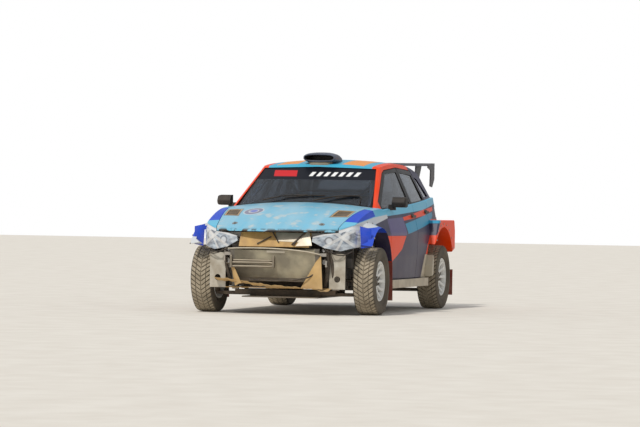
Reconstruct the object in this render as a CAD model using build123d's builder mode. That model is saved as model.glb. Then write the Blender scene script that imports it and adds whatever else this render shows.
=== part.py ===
from build123d import *
from collections import namedtuple
from copy import deepcopy
from math import asin, cos, degrees, radians, sin, sqrt, tan
import os

os.makedirs("parts", exist_ok=True)

# Rally hatchback, millimetres. +X forward, +Y left, +Z up.
# Origin on the ground, midway between the axles.

# Running gear
wheelbase = 2570
track = 1610
tyre_radius = 325
tyre_width = 208
rim_radius = 193
rim_width = 190
spoke_count = 12
disc_radius = 150
disc_thickness = 26
kingpin_inset = 60
knuckle_radius = 42
axle_x = wheelbase / 2
wheel_y = track / 2
kingpin_y = wheel_y - kingpin_inset

# Body
front_x = 1915
rear_x = -1915
sill_z = 245
door_bottom_z = 335
widest_y = 872
belt_z = 1045
belt_tilt = 3.2
roof_z = 1505
roof_peak_x = -450
roof_along_radius = 5000
roof_across_radius = 4600
bonnet_peak_x = 790
bonnet_peak_z = 1075
bonnet_along_radius = 2400
bonnet_across_radius = 5100
lip_z = 790
arch_radius = 440
arch_z = 395
flare_y = 910
flare_top_z = 905
flare_edge = 14
flare_inner_y = 700
front_flare_inner_y = 640
tower_clear_y = 752
flare_spread = 95
flare_taper = 20

# Walls and gaps
door_wall = 55
frame_wall = 30
skin = 12
glass_inset = 4
glass_thickness = 4
gap = 6
seat_gap = 0.3

Section = namedtuple("Section", "z tilt nose_x front_x front_y wide_x wide_y rear_x rear_y tail_x")
tub_sections = [
    Section(sill_z, 0, 1800, 1640, 690, 0, widest_y - 34, -1740, 700, rear_x + 85),
    Section(560, 0, 1900, 1690, 735, 0, widest_y - 6, -1780, 735, rear_x),
    Section(lip_z - 2, 0, front_x, 1690, 750, 0, widest_y, -1780, 745, rear_x),
    Section(belt_z + 105, belt_tilt, 1880, 1640, 680, 0, widest_y - 92, -1660, 690, rear_x + 145),
]
cabin_sections = [
    Section(belt_z - 45, belt_tilt, 1080, 970, 745, -200, 812, -1690, 690, -1795),
    Section(roof_z + 15, 0, 165, 50, 571, -400, 579, -1347, 534, -1431),
]
tub_corner = 150
cabin_corner = 85


def loft_sections(sections, corner, inset=0, drop=0):
    """Solid ruled through plan sections, each shrunk by the inset. Drop lowers the first section."""
    with BuildPart() as solid:
        for number, row in enumerate(sections):
            level = row.z - (drop if number == 0 else 0)
            front_left = (row.front_x - inset, row.front_y - inset)
            front_right = (row.front_x - inset, inset - row.front_y)
            rear_left = (row.rear_x + inset, row.rear_y - inset)
            rear_right = (row.rear_x + inset, inset - row.rear_y)
            with BuildSketch(Plane(origin=(0, 0, level)).rotated((0, row.tilt, 0))) as section:
                with BuildLine():
                    ThreePointArc(front_right, (row.nose_x - inset, 0), front_left)
                    ThreePointArc(front_left, (row.wide_x, row.wide_y - inset), rear_left)
                    ThreePointArc(rear_left, (row.tail_x + inset, 0), rear_right)
                    ThreePointArc(rear_right, (row.wide_x, inset - row.wide_y), front_right)
                make_face()
                fillet(section.vertices(), corner - inset)
        loft(ruled=True)
    return solid.part


def crown(peak_x, peak_z, along_radius, across_radius, reach, depth):
    """Solid under a top that is rounded lengthways and across, turned about the axis of its larger round."""
    half_width = 1000
    if along_radius > across_radius:
        far, near, spread, length = along_radius, across_radius, reach, half_width
        across_dir, turn_dir = (1, 0, 0), (0, 1, 0)
    else:
        far, near, spread, length = across_radius, along_radius, half_width, reach
        across_dir, turn_dir = (0, 1, 0), (1, 0, 0)
    half_angle = asin(spread / far)
    pivot = Vector(peak_x, 0, peak_z - far)
    turn = Vector(*turn_dir)
    sideways = Vector(*across_dir)
    up = Vector(0, 0, 1)
    start_side = -1 if turn_dir == (0, 1, 0) else 1
    radial = up * cos(half_angle) + sideways * (start_side * sin(half_angle))
    start = Plane(origin=pivot, x_dir=turn, z_dir=turn.cross(radial))
    edge = far - (near - sqrt(near**2 - length**2))
    base = far - depth
    with BuildPart() as solid:
        with BuildSketch(start):
            with BuildLine():
                ThreePointArc((-length, edge), (0, far), (length, edge))
                Polyline((length, edge), (length, base), (-length, base), (-length, edge))
            make_face()
        revolve(axis=Axis(pivot, turn), revolution_arc=2 * degrees(half_angle))
    return solid.part


def side_prism(points, y_low, y_high):
    """Outline seen from the side, in X and Z, carried across from one Y to another."""
    with BuildPart() as solid:
        with BuildSketch(Plane.XZ.offset(-y_low)):
            with BuildLine():
                Polyline(*points, close=True)
            make_face()
        extrude(amount=-(y_high - y_low))
    return solid.part


def front_prism(points, x_low, x_high):
    """Outline seen from the front, in Y and Z, carried along from one X to another."""
    with BuildPart() as solid:
        with BuildSketch(Plane.YZ.offset(x_low)):
            with BuildLine():
                Polyline(*points, close=True)
            make_face()
        extrude(amount=x_high - x_low)
    return solid.part


def plan_prism(points, z_low, z_high):
    """Outline seen from above, in X and Y, carried up from one Z to another."""
    with BuildPart() as solid:
        with BuildSketch(Plane.XY.offset(z_low)):
            with BuildLine():
                Polyline(*points, close=True)
            make_face()
        extrude(amount=z_high - z_low)
    return solid.part


def bounds(x_low, x_high, y_low, y_high, z_low, z_high):
    """Plain box between limits."""
    with BuildPart() as solid:
        with BuildSketch(Plane.XY.offset(z_low)):
            with Locations(((x_low + x_high) / 2, (y_low + y_high) / 2)):
                Rectangle(x_high - x_low, y_high - y_low)
        extrude(amount=z_high - z_low)
    return solid.part


def bar(start, end, radius):
    """Round bar between two points, added to the sub-part that calls it."""
    run = Vector(*end) - Vector(*start)
    with BuildSketch(Plane(origin=start, z_dir=run)) as section:
        Circle(radius)
    extrude(section.sketch, amount=run.length)


def hand_over(part, name):
    """Label a finished piece and write it."""
    part.label = name
    export_step(part, f"parts/{name}.step")


def mirrored(part):
    """The same piece on the other side of the car."""
    with BuildPart() as other:
        mirror(fresh(part), about=Plane.XZ)
    return other.part


def fresh(part):
    """A copy, so that cutting with a shared volume leaves that volume as it is."""
    return deepcopy(part)


def intersected(part, *cutters):
    """What lies in the part and in every cutter."""
    with BuildPart() as solid:
        add(fresh(part))
        for cutter in cutters:
            add(fresh(cutter), mode=Mode.INTERSECT)
    return solid.part


def belt_level(x):
    """Height of the belt line at a place along the car."""
    return belt_z - x * tan(radians(belt_tilt))


# Outer volumes of the body
cowl_x = 800


def top_of_tub(lower_by):
    """Everything under the bonnet's crown in front and under the belt line behind."""
    with BuildPart() as solid:
        add(crown(bonnet_peak_x, bonnet_peak_z - lower_by, bonnet_along_radius,
                  bonnet_across_radius, 1195, 1600))
        add(bounds(cowl_x, 2100, -990, 990, 100, 1200), mode=Mode.INTERSECT)
        back = -2100
        add(side_prism([(cowl_x, 100), (cowl_x, belt_level(cowl_x) - lower_by),
                        (back, belt_level(back) - lower_by), (back, 100)], -990, 990))
    return solid.part


def tub(inset, lower_by):
    """Lower body, shrunk by the inset, with its top lowered."""
    return intersected(loft_sections(tub_sections, tub_corner, inset), top_of_tub(lower_by))


def cabin(inset, lower_by, drop=0):
    """Glass house, shrunk by the inset, with its roof lowered."""
    roof = crown(roof_peak_x, roof_z - lower_by, roof_along_radius, roof_across_radius, 1500, 1200)
    return intersected(loft_sections(cabin_sections, cabin_corner, inset, drop), roof)


tub_outer = tub(0, 0)
cabin_outer = cabin(0, 0)
with BuildPart() as wall_builder:
    add(fresh(tub_outer))
    add(fresh(cabin_outer))
    add(tub(door_wall, frame_wall), mode=Mode.SUBTRACT)
    add(cabin(frame_wall, frame_wall, 60), mode=Mode.SUBTRACT)
body_wall = wall_builder.part
with BuildPart() as skin_builder:
    add(fresh(tub_outer))
    add(tub(skin, skin), mode=Mode.SUBTRACT)
front_skin = skin_builder.part
with BuildPart() as glass_builder:
    add(cabin(glass_inset, glass_inset, 20))
    add(cabin(glass_inset + glass_thickness, glass_inset + glass_thickness, 40), mode=Mode.SUBTRACT)
glass_shell = glass_builder.part

# Door and window outlines seen from the side, X and Z
door_front_outline = [(690, door_bottom_z), (690, 1081), (215, 1362), (120, 1393),
                      (-345, 1425), (-330, belt_level(-330)), (-320, door_bottom_z)]
door_rear_outline = [(-328, door_bottom_z), (-339, belt_level(-339)), (-361, 1425), (-950, 1400),
                     (-1075, belt_level(-1075)), (-1010, 850), (-800, 450), (-800, door_bottom_z)]
window_front_outline = [(655, belt_level(655) + 12), (655, 1052), (150, 1350), (90, 1366), (-290, 1382),
                        (-285, belt_level(-285) + 12)]
window_rear_outline = [(-385, belt_level(-385) + 12), (-405, 1382), (-905, 1358),
                       (-1020, belt_level(-1020) + 12)]
quarter_window_outline = [(-1120, belt_level(-1120) + 22), (-1025, 1340), (-1150, 1325),
                          (-1430, belt_level(-1430) + 26)]
door_hole_outline = [(696, door_bottom_z - gap), (696, 1086), (218, 1369), (121, 1400),
                     (-348, 1432), (-968, 1407), (-1088, belt_level(-1088)), (-1020, 850),
                     (-811, 448), (-811, door_bottom_z - gap)]
hinge_gap = 0.3
inner_y = 400
outer_y = 960
wheel_openings = []
for axle in (axle_x, -axle_x):
    with BuildPart() as opening:
        with BuildSketch(Plane.XZ.offset(-560)):
            with Locations((axle, arch_z)):
                Circle(arch_radius)
            with Locations((axle, arch_z - 200)):
                Rectangle(2 * arch_radius, 400)
        extrude(amount=-(outer_y - 560))
    wheel_openings.append(opening.part)
front_opening, rear_opening = wheel_openings

# Windscreen, roof and tailgate outlines seen from the front, Y and Z
windscreen_outline = [(-705, 960), (-690, 1043), (-572, 1408), (0, 1424), (572, 1408), (690, 1043), (705, 960)]
roof_edge_y = 530
roof_rear_x = -1395
tailgate_outline = [(-465, 1500), (-500, 1400), (-590, 1140), (-625, 950), (-540, 620),
                    (540, 620), (625, 950), (590, 1140), (500, 1400), (465, 1500)]
tailgate_hole = [(-481, 1500), (-516, 1400), (-606, 1140), (-639, 950), (-546, 614),
                 (546, 614), (639, 950), (606, 1140), (516, 1400), (481, 1500)]
tailgate_window_outline = [(-440, 1365), (-545, 1165), (545, 1165), (440, 1365)]
tail_lamp_outline = [(640, 925), (645, 1035), (760, 1040), (800, 1010), (800, 940)]
headlamp_outline = [(365, 700), (375, 745), (470, 770), (597, 784), (603, 806), (720, 856), (800, 880),
                    (850, 874), (850, 705), (770, 655), (620, 612), (480, 640)]
headlamp_front_x = 1470
headlamp_depth = 60
bumper_top_z = 608

windscreen_hole = front_prism(windscreen_outline, -50, 1200)
roof_zone = bounds(roof_rear_x + gap, 400, -roof_edge_y, roof_edge_y, 1330, 1600)
tailgate_zone = intersected(front_prism(tailgate_outline, -1950, -1200),
                            bounds(-1950, roof_rear_x, -700, 700, 600, 1600))
tailgate_gap_zone = intersected(front_prism(tailgate_hole, -1950, -1200),
                                bounds(-1950, roof_rear_x + gap, -700, 700, 600, 1600))
tail_lamp_zone = front_prism(tail_lamp_outline, -1950, -1600)
headlamp_zone = front_prism(headlamp_outline, headlamp_front_x, 2000)


def bonnet_zone(spread, low_z):
    """Everything over the bonnet's outline, spread sideways for its gap."""
    with BuildPart() as solid:
        with BuildSketch(Plane.XY.offset(low_z)):
            with BuildLine():
                Polyline((885, -700), (1775, -597), (2050, -560), (2050, 560), (1775, 597), (885, 700))
                ThreePointArc((885, 700), (925, 0), (885, -700))
            make_face()
            if spread:
                offset(amount=spread, kind=Kind.INTERSECTION)
        extrude(amount=1300 - low_z)
    return solid.part


# Front panels
vent_outline = [(1520, 470), (1470, 600), (1270, 618), (1310, 490)]
with BuildPart() as bonnet:
    add(fresh(front_skin))
    add(bonnet_zone(0, lip_z), mode=Mode.INTERSECT)
    vent = plan_prism(vent_outline, lip_z, 1200)
    add(vent, mode=Mode.SUBTRACT)
    add(mirrored(vent), mode=Mode.SUBTRACT)
hand_over(bonnet.part, "bonnet")
print("bonnet", len(bonnet.part.solids()))

with BuildPart() as scuttle_zone:
    with BuildSketch(Plane.XY.offset(900)):
        with BuildLine():
            Polyline((885 - gap, 700), (780, 700), (780, -700), (885 - gap, -700))
            ThreePointArc((885 - gap, -700), (925 - gap, 0), (885 - gap, 700))
        make_face()
    extrude(amount=300)
with BuildPart() as scuttle:
    add(intersected(front_skin, scuttle_zone.part))
    add(fresh(cabin_outer), mode=Mode.SUBTRACT)
hand_over(scuttle.part, "scuttle")
print("scuttle", len(scuttle.part.solids()))

with BuildPart() as headlamp:
    add(tub(4, 4))
    add(tub(headlamp_depth, 4), mode=Mode.SUBTRACT)
    add(fresh(headlamp_zone), mode=Mode.INTERSECT)
    add(bonnet_zone(gap, lip_z - gap), mode=Mode.SUBTRACT)
with BuildPart() as headlamps:
    add(headlamp.part)
    mirror(headlamp.part, about=Plane.XZ)
hand_over(headlamps.part, "headlamps")
print("headlamps", len(headlamps.part.solids()))

fender_outline = [(696, door_bottom_z), (880, door_bottom_z), (1285, 600), (1640, 660), (1725, 700), (1790, 790),
                  (1790, 1100), (696, 1100)]
with BuildPart() as front_flare:
    with BuildSketch(Plane.XZ.offset(-front_flare_inner_y)):
        with Locations((axle_x, arch_z)):
            Circle(arch_radius + flare_spread)
    extrude(amount=front_flare_inner_y - flare_y, taper=flare_taper)
    fillet(front_flare.faces().sort_by(Axis.Y)[-1].edges(), flare_edge)
    add(side_prism(fender_outline, 600, outer_y), mode=Mode.INTERSECT)
    add(plan_prism([(600, tower_clear_y), (1420, tower_clear_y), (1420, front_flare_inner_y),
                    (1790, front_flare_inner_y), (1790, outer_y), (600, outer_y)], 100, flare_top_z),
        mode=Mode.INTERSECT)
with BuildPart() as fender_left:
    add(fresh(front_skin))
    add(side_prism(fender_outline, 560, outer_y), mode=Mode.INTERSECT)
    add(bonnet_zone(gap, 700), mode=Mode.SUBTRACT)
    add(fresh(scuttle_zone.part), mode=Mode.SUBTRACT)
    add(fresh(front_flare.part))
    add(fresh(front_opening), mode=Mode.SUBTRACT)
    add(fresh(headlamp_zone), mode=Mode.SUBTRACT)
    add(bounds(600, 696, -990, 990, 100, 1200), mode=Mode.SUBTRACT)
    add(fresh(cabin_outer), mode=Mode.SUBTRACT)
hand_over(fender_left.part, "fender_left")
hand_over(mirrored(fender_left.part), "fender_right")
print("fender", len(fender_left.part.solids()))

# Bodyshell pieces
with BuildPart() as roof_panel:
    add(fresh(body_wall))
    add(fresh(roof_zone), mode=Mode.INTERSECT)
    add(fresh(windscreen_hole), mode=Mode.SUBTRACT)
hand_over(roof_panel.part, "roof_panel")

flare_outline = [(-815, 340), (-815, 448), (-985, 750), (-1050, 870), (-1075, flare_top_z), (-1765, flare_top_z),
                 (-1800, 800), (-1800, bumper_top_z)]
with BuildPart() as rear_flare:
    with BuildSketch(Plane.XZ.offset(-flare_inner_y)):
        with BuildLine():
            Polyline(*flare_outline, close=True)
        make_face()
    extrude(amount=flare_inner_y - flare_y)
    fillet(rear_flare.faces().sort_by(Axis.Y)[-1].edges(), flare_edge)
with BuildPart() as body_side_left:
    add(fresh(body_wall))
    add(bounds(-1950, 1000, roof_edge_y - 200, outer_y, sill_z, 1600), mode=Mode.INTERSECT)
    add(intersected(tub_outer, bounds(690, 2100, -990, 990, 100, 1200)), mode=Mode.SUBTRACT)
    add(bounds(-1950, 400, 0, roof_edge_y, 1330, 1600), mode=Mode.SUBTRACT)
    add(side_prism(door_hole_outline, inner_y, outer_y), mode=Mode.SUBTRACT)
    add(side_prism(quarter_window_outline, inner_y, outer_y), mode=Mode.SUBTRACT)
    add(fresh(windscreen_hole), mode=Mode.SUBTRACT)
    add(fresh(tailgate_gap_zone), mode=Mode.SUBTRACT)
    add(fresh(tail_lamp_zone), mode=Mode.SUBTRACT)
    add(bounds(-1950, -1560, -990, 990, 100, bumper_top_z), mode=Mode.SUBTRACT)
    add(fresh(rear_flare.part))
    add(fresh(rear_opening), mode=Mode.SUBTRACT)
    add(bounds(-372, -334, 790, 846, door_bottom_z - gap - 3, door_bottom_z - hinge_gap))
hand_over(body_side_left.part, "body_side_left")
hand_over(mirrored(body_side_left.part), "body_side_right")
print("side", len(body_side_left.part.solids()))

with BuildPart() as quarter_window:
    add(fresh(glass_shell))
    add(side_prism(quarter_window_outline, inner_y, outer_y), mode=Mode.INTERSECT)
with BuildPart() as quarter_windows:
    add(quarter_window.part)
    mirror(quarter_window.part, about=Plane.XZ)
hand_over(quarter_windows.part, "quarter_windows")

with BuildPart() as windscreen:
    add(fresh(glass_shell))
    add(front_prism(windscreen_outline, -50, 1200), mode=Mode.INTERSECT)
    add(fresh(tub_outer), mode=Mode.SUBTRACT)
hand_over(windscreen.part, "windscreen")

for name, outline, window_outline in (("front", door_front_outline, window_front_outline),
                                      ("rear", door_rear_outline, window_rear_outline)):
    with BuildPart() as door:
        add(fresh(body_wall))
        add(side_prism(outline, inner_y, outer_y), mode=Mode.INTERSECT)
        add(side_prism(window_outline, inner_y, outer_y), mode=Mode.SUBTRACT)
        add(fresh(windscreen_hole), mode=Mode.SUBTRACT)
        add(plan_prism([(-1110, 640), (-1040, 640), (-1070, 815), (-1110, 815)], 1000, 1125), mode=Mode.SUBTRACT)
    with BuildPart() as window:
        add(fresh(glass_shell))
        add(side_prism(window_outline, inner_y, outer_y), mode=Mode.INTERSECT)
    hand_over(door.part, f"door_{name}_left")
    hand_over(mirrored(door.part), f"door_{name}_right")
    hand_over(window.part, f"window_{name}_left")
    hand_over(mirrored(window.part), f"window_{name}_right")
    print("door", name, len(door.part.solids()), len(window.part.solids()))

with BuildPart() as tailgate:
    add(fresh(body_wall))
    add(fresh(tailgate_zone), mode=Mode.INTERSECT)
    add(front_prism(tailgate_window_outline, -1950, -1300), mode=Mode.SUBTRACT)
hand_over(tailgate.part, "tailgate")
with BuildPart() as tailgate_window:
    add(fresh(glass_shell))
    add(front_prism(tailgate_window_outline, -1950, -1300), mode=Mode.INTERSECT)
hand_over(tailgate_window.part, "tailgate_window")
print("tailgate", len(tailgate.part.solids()), len(tailgate_window.part.solids()))

with BuildPart() as rear_bumper:
    add(fresh(body_wall))
    add(bounds(-1950, -1560, -990, 990, 330, bumper_top_z), mode=Mode.INTERSECT)
    for solid in (rear_opening, mirrored(rear_opening), rear_flare.part, mirrored(rear_flare.part)):
        add(fresh(solid), mode=Mode.SUBTRACT)
hand_over(rear_bumper.part, "rear_bumper")
print("bumper", len(rear_bumper.part.solids()))

with BuildPart() as tail_lamp:
    add(tub(3, 0))
    add(tub(40, 0), mode=Mode.SUBTRACT)
    add(fresh(tail_lamp_zone), mode=Mode.INTERSECT)
with BuildPart() as tail_lamps:
    add(tail_lamp.part)
    mirror(tail_lamp.part, about=Plane.XZ)
hand_over(tail_lamps.part, "tail_lamps")


def placed(part, plane):
    """A copy of a piece moved from its own frame to a plane."""
    with BuildPart() as copy:
        with Locations(plane.location):
            add(part)
    return copy.part


# Wheels, made about their own axis with local Z outward, then placed
rim_lip_radius = 204
rim_wall = 12
bead_half_width = 84
hub_inner_t = -12
rim_face_t = 62
with BuildPart() as tyre:
    with BuildSketch(Plane.XZ):
        with BuildLine():
            half = tyre_width / 2
            bead = rim_radius + seat_gap
            Polyline((bead, -bead_half_width), (bead, bead_half_width), (208, bead_half_width), (208, 92))
            ThreePointArc((208, 92), (250, half), (300, 94))
            ThreePointArc((300, 94), (314, 90), (320, 78))
            ThreePointArc((320, 78), (tyre_radius, 0), (320, -78))
            ThreePointArc((320, -78), (314, -90), (300, -94))
            ThreePointArc((300, -94), (250, -half), (208, -92))
            Polyline((208, -92), (208, -bead_half_width), (bead, -bead_half_width))
        make_face()
    revolve(axis=Axis.Z)
with BuildPart() as rim:
    with BuildSketch(Plane.XZ):
        with BuildLine():
            edge = rim_width / 2
            inner = rim_radius - rim_wall
            Polyline((inner, -edge), (rim_lip_radius, -edge), (rim_lip_radius, -edge + 8), (rim_radius, -edge + 10.7),
                     (rim_radius, edge - 10.7), (rim_lip_radius, edge - 8), (rim_lip_radius, edge), (inner, edge),
                     close=True)
        make_face()
    revolve(axis=Axis.Z)
    with BuildSketch(Plane.XY.offset(hub_inner_t)):
        Circle(62)
    extrude(amount=rim_face_t + 18 - hub_inner_t)
    with BuildSketch(Plane.XY.offset(hub_inner_t + 2)):
        Circle(disc_radius)
    extrude(amount=disc_thickness)
    with BuildSketch(Plane.XY.offset(rim_face_t - 12)):
        Circle(84)
    extrude(amount=24)
    for turn in range(spoke_count):
        angle = 360 / spoke_count * turn
        with BuildSketch(Plane.XY.offset(rim_face_t - 12).rotated((0, 0, angle))) as spoke:
            with BuildLine():
                Polyline((70, -11), (inner + 2, -8), (inner + 2, 8), (70, 11), close=True)
            make_face()
        extrude(spoke.sketch, amount=26)
for x, label in ((axle_x, "front"), (-axle_x, "rear")):
    for side, side_name in ((1, "left"), (-1, "right")):
        wheel_plane = Plane(origin=(x, side * wheel_y, tyre_radius), x_dir=(1, 0, 0), z_dir=(0, side, 0))
        hand_over(placed(tyre.part, wheel_plane), f"tyre_{label}_{side_name}")
        hand_over(placed(rim.part, wheel_plane), f"rim_{label}_{side_name}")
print("rim", len(rim.part.solids()), rim.part.volume / 1e6, "tyre", len(tyre.part.solids()))

# Uprights with caliper and strut: round about the kingpin so that they can turn
upright_low_z = 205
upright_high_z = 455
strut_y = kingpin_y - 90
strut_top_z = 800
tower_z = strut_top_z + 8
hub_gap_y = wheel_y + hub_inner_t - seat_gap
caliper_slot = disc_thickness + 12
bearing_radius = 45


def upright(x):
    """Left upright at one axle, with its strut, spring and brake caliper."""
    disc_mid_y = wheel_y + hub_inner_t + 2 + disc_thickness / 2
    with BuildPart() as solid:
        with BuildSketch(Plane.XY.offset(upright_low_z)):
            with Locations((x, kingpin_y)):
                Circle(knuckle_radius)
        extrude(amount=upright_high_z - upright_low_z)
        with BuildSketch(Plane.XZ.offset(-kingpin_y)):
            with Locations((x, tyre_radius)):
                Circle(58)
        extrude(amount=kingpin_y - hub_gap_y)
        add(bounds(x - 20, x + 20, strut_y, kingpin_y, upright_high_z - 40, upright_high_z))
        with BuildSketch(Plane.XY.offset(upright_high_z - 50)):
            with Locations((x, strut_y)):
                Circle(26)
        extrude(amount=strut_top_z - upright_high_z + 50)
        with BuildSketch(Plane.XY.offset(665)):
            with Locations((x, strut_y)):
                Circle(48)
        extrude(amount=strut_top_z - 665)
        add(bounds(x - 164, x - 96, disc_mid_y - 34, disc_mid_y + 34, tyre_radius - 45, tyre_radius + 45))
        add(bounds(x - 160, x, kingpin_y - 20, disc_mid_y - 19, tyre_radius - 25, tyre_radius + 25))
        with BuildSketch(Plane.XZ.offset(-(disc_mid_y - caliper_slot / 2))):
            with Locations((x, tyre_radius)):
                Circle(disc_radius + 6)
        extrude(amount=-caliper_slot, mode=Mode.SUBTRACT)
        with BuildSketch(Plane.XZ.offset(-kingpin_y)):
            with Locations((x, tyre_radius)):
                Circle(bearing_radius)
        extrude(amount=kingpin_y - hub_gap_y)
    return solid.part


knuckle = upright(axle_x)
hand_over(knuckle, "knuckle_front_left")
hand_over(mirrored(knuckle), "knuckle_front_right")
print("knuckle", len(knuckle.solids()))

arm_y = 330
tow_hole_radius = 18
arm_z = 190


def axle_half(x, shaft_y):
    """Lower arm with its ball joint seat, and driveshaft from a place across the car, left side."""
    with BuildPart() as solid:
        with BuildSketch(Plane.XY.offset(arm_z - 16)) as arm:
            with BuildLine():
                Polyline((x - 150, arm_y), (x + 150, arm_y), (x + 120, arm_y + 60), (x + 30, kingpin_y + 10),
                         (x - 30, kingpin_y + 10), (x - 120, arm_y + 60), close=True)
            make_face()
            with BuildLine():
                Polyline((x - 70, arm_y + 80), (x + 70, arm_y + 80), (x, kingpin_y - 110), close=True)
            make_face(mode=Mode.SUBTRACT)
        extrude(amount=upright_low_z - seat_gap - arm_z + 16)
        bar((x, shaft_y, tyre_radius), (x, kingpin_y - knuckle_radius - 6, tyre_radius), 15)
        bar((x, kingpin_y - 130, tyre_radius), (x, kingpin_y - knuckle_radius - 6, tyre_radius), 40)
    return solid.part


engine_half_width = 385
front_half = axle_half(axle_x, engine_half_width)
subframe_y = 350
subframe_z = 170
subframe_top_z = 230
rail_y = 500
with BuildPart() as front_axle:
    add(front_half)
    mirror(front_half, about=Plane.XZ)
    add(bounds(axle_x - 180, axle_x + 180, -subframe_y, subframe_y, subframe_z, subframe_top_z))
    for x in (axle_x - 180, axle_x + 140):
        add(bounds(x, x + 40, -rail_y, rail_y, subframe_top_z - 40, subframe_top_z))
hand_over(front_axle.part, "front_axle")
with BuildPart() as rear_half:
    add(axle_half(-axle_x, 240))
    add(upright(-axle_x))
    add(bounds(-axle_x - 40, -axle_x + 40, kingpin_y - 45, kingpin_y + 20, arm_z - 16, upright_low_z))
    add(bounds(-axle_x - 25, -axle_x + 25, kingpin_y - 60, kingpin_y, tyre_radius - 25, tyre_radius + 25))
with BuildPart() as rear_axle:
    add(rear_half.part)
    mirror(rear_half.part, about=Plane.XZ)
    add(bounds(-axle_x - 180, -axle_x + 180, -subframe_y, subframe_y, subframe_z, subframe_top_z))
    add(bounds(-axle_x - 220, -axle_x + 220, -300, 300, sill_z - seat_gap - 30, sill_z - seat_gap))
    add(bounds(-axle_x - 130, -axle_x + 130, -120, 120, 215, 420))
    bar((-axle_x, -300, tyre_radius), (-axle_x, 300, tyre_radius), 15)
hand_over(rear_axle.part, "rear_axle")
print("axles", len(front_axle.part.solids()), len(rear_axle.part.solids()))

# Floor, firewall and rear wheel houses
floor_z = 262
floor_y = 735
firewall_x = 930
house_y = 585
house_top_z = tower_z + 10
floor_rear_x = -1560
toe_x = 885
toe_y = 515
toe_z = 695
boot_z = 460
panel = 20
tub_inside = tub(door_wall, frame_wall)
under_rear = bounds(-axle_x - 190, -axle_x + 190, -subframe_y - 10, subframe_y + 10, 100, boot_z - 1)
shaft_gap = bounds(-axle_x - 60, -axle_x + 60, -floor_y, floor_y, 160, 380)
with BuildPart() as floor_slab:
    add(bounds(floor_rear_x, firewall_x + panel, -house_y + seat_gap, house_y - seat_gap, sill_z, floor_z))
    add(bounds(-840 + seat_gap, firewall_x + panel, -floor_y, floor_y, sill_z, floor_z))
    add(fresh(under_rear), mode=Mode.SUBTRACT)
    add(fresh(shaft_gap), mode=Mode.SUBTRACT)
    add(bounds(toe_x + panel, 1000, toe_y + panel, 800, 200, 400), mode=Mode.SUBTRACT)
    add(bounds(toe_x + panel, 1000, -800, -toe_y - panel, 200, 400), mode=Mode.SUBTRACT)
    add(fresh(tub_inside), mode=Mode.INTERSECT)
    add(side_prism([(-1480, sill_z + 5), (-1690, sill_z + 17), (-1705, 225), (-1660, 190), (-1600, 195),
                    (-1500, 235)], 344, 356))
    with BuildSketch(Plane.XZ.offset(-400)):
        with Locations((-1660, 227)):
            Circle(tow_hole_radius)
    extrude(amount=100, mode=Mode.SUBTRACT)
with BuildPart() as tyre_room:
    add(bounds(toe_x + panel, 1000, toe_y + panel, 800, 200, toe_z - panel))
    mirror(tyre_room.part, about=Plane.XZ)
with BuildPart() as firewall:
    add(bounds(firewall_x, firewall_x + panel, -floor_y, floor_y, floor_z + seat_gap, 990))
    for side in (1, -1):
        low_y, high_y = sorted((side * toe_y, side * floor_y))
        add(bounds(toe_x, firewall_x + panel, low_y, high_y, floor_z + seat_gap, toe_z))
    add(fresh(tyre_room.part), mode=Mode.SUBTRACT)
    add(fresh(tub_inside), mode=Mode.INTERSECT)
with BuildPart() as boot_floor:
    add(bounds(floor_rear_x, -860, -house_y + seat_gap, house_y - seat_gap, boot_z - panel, boot_z))
    for x in (-860 - panel, floor_rear_x):
        add(bounds(x, x + panel, -house_y + seat_gap, house_y - seat_gap, floor_z + seat_gap, boot_z))
    add(fresh(under_rear), mode=Mode.SUBTRACT)
    add(fresh(tub_inside), mode=Mode.INTERSECT)
with BuildPart() as wheel_house:
    add(bounds(-1750, -840, house_y, 690, sill_z, house_top_z + panel))
    add(bounds(-1730, -860, house_y + 18, 800, 100, house_top_z), mode=Mode.SUBTRACT)
    add(fresh(shaft_gap), mode=Mode.SUBTRACT)
    add(fresh(tub_inside), mode=Mode.INTERSECT)
with BuildPart() as floor_pan:
    add(floor_slab.part)
    add(firewall.part)
    add(boot_floor.part)
    add(wheel_house.part)
    mirror(wheel_house.part, about=Plane.XZ)
hand_over(floor_pan.part, "floor_pan")
print("floor", len(floor_pan.part.solids()))

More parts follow.
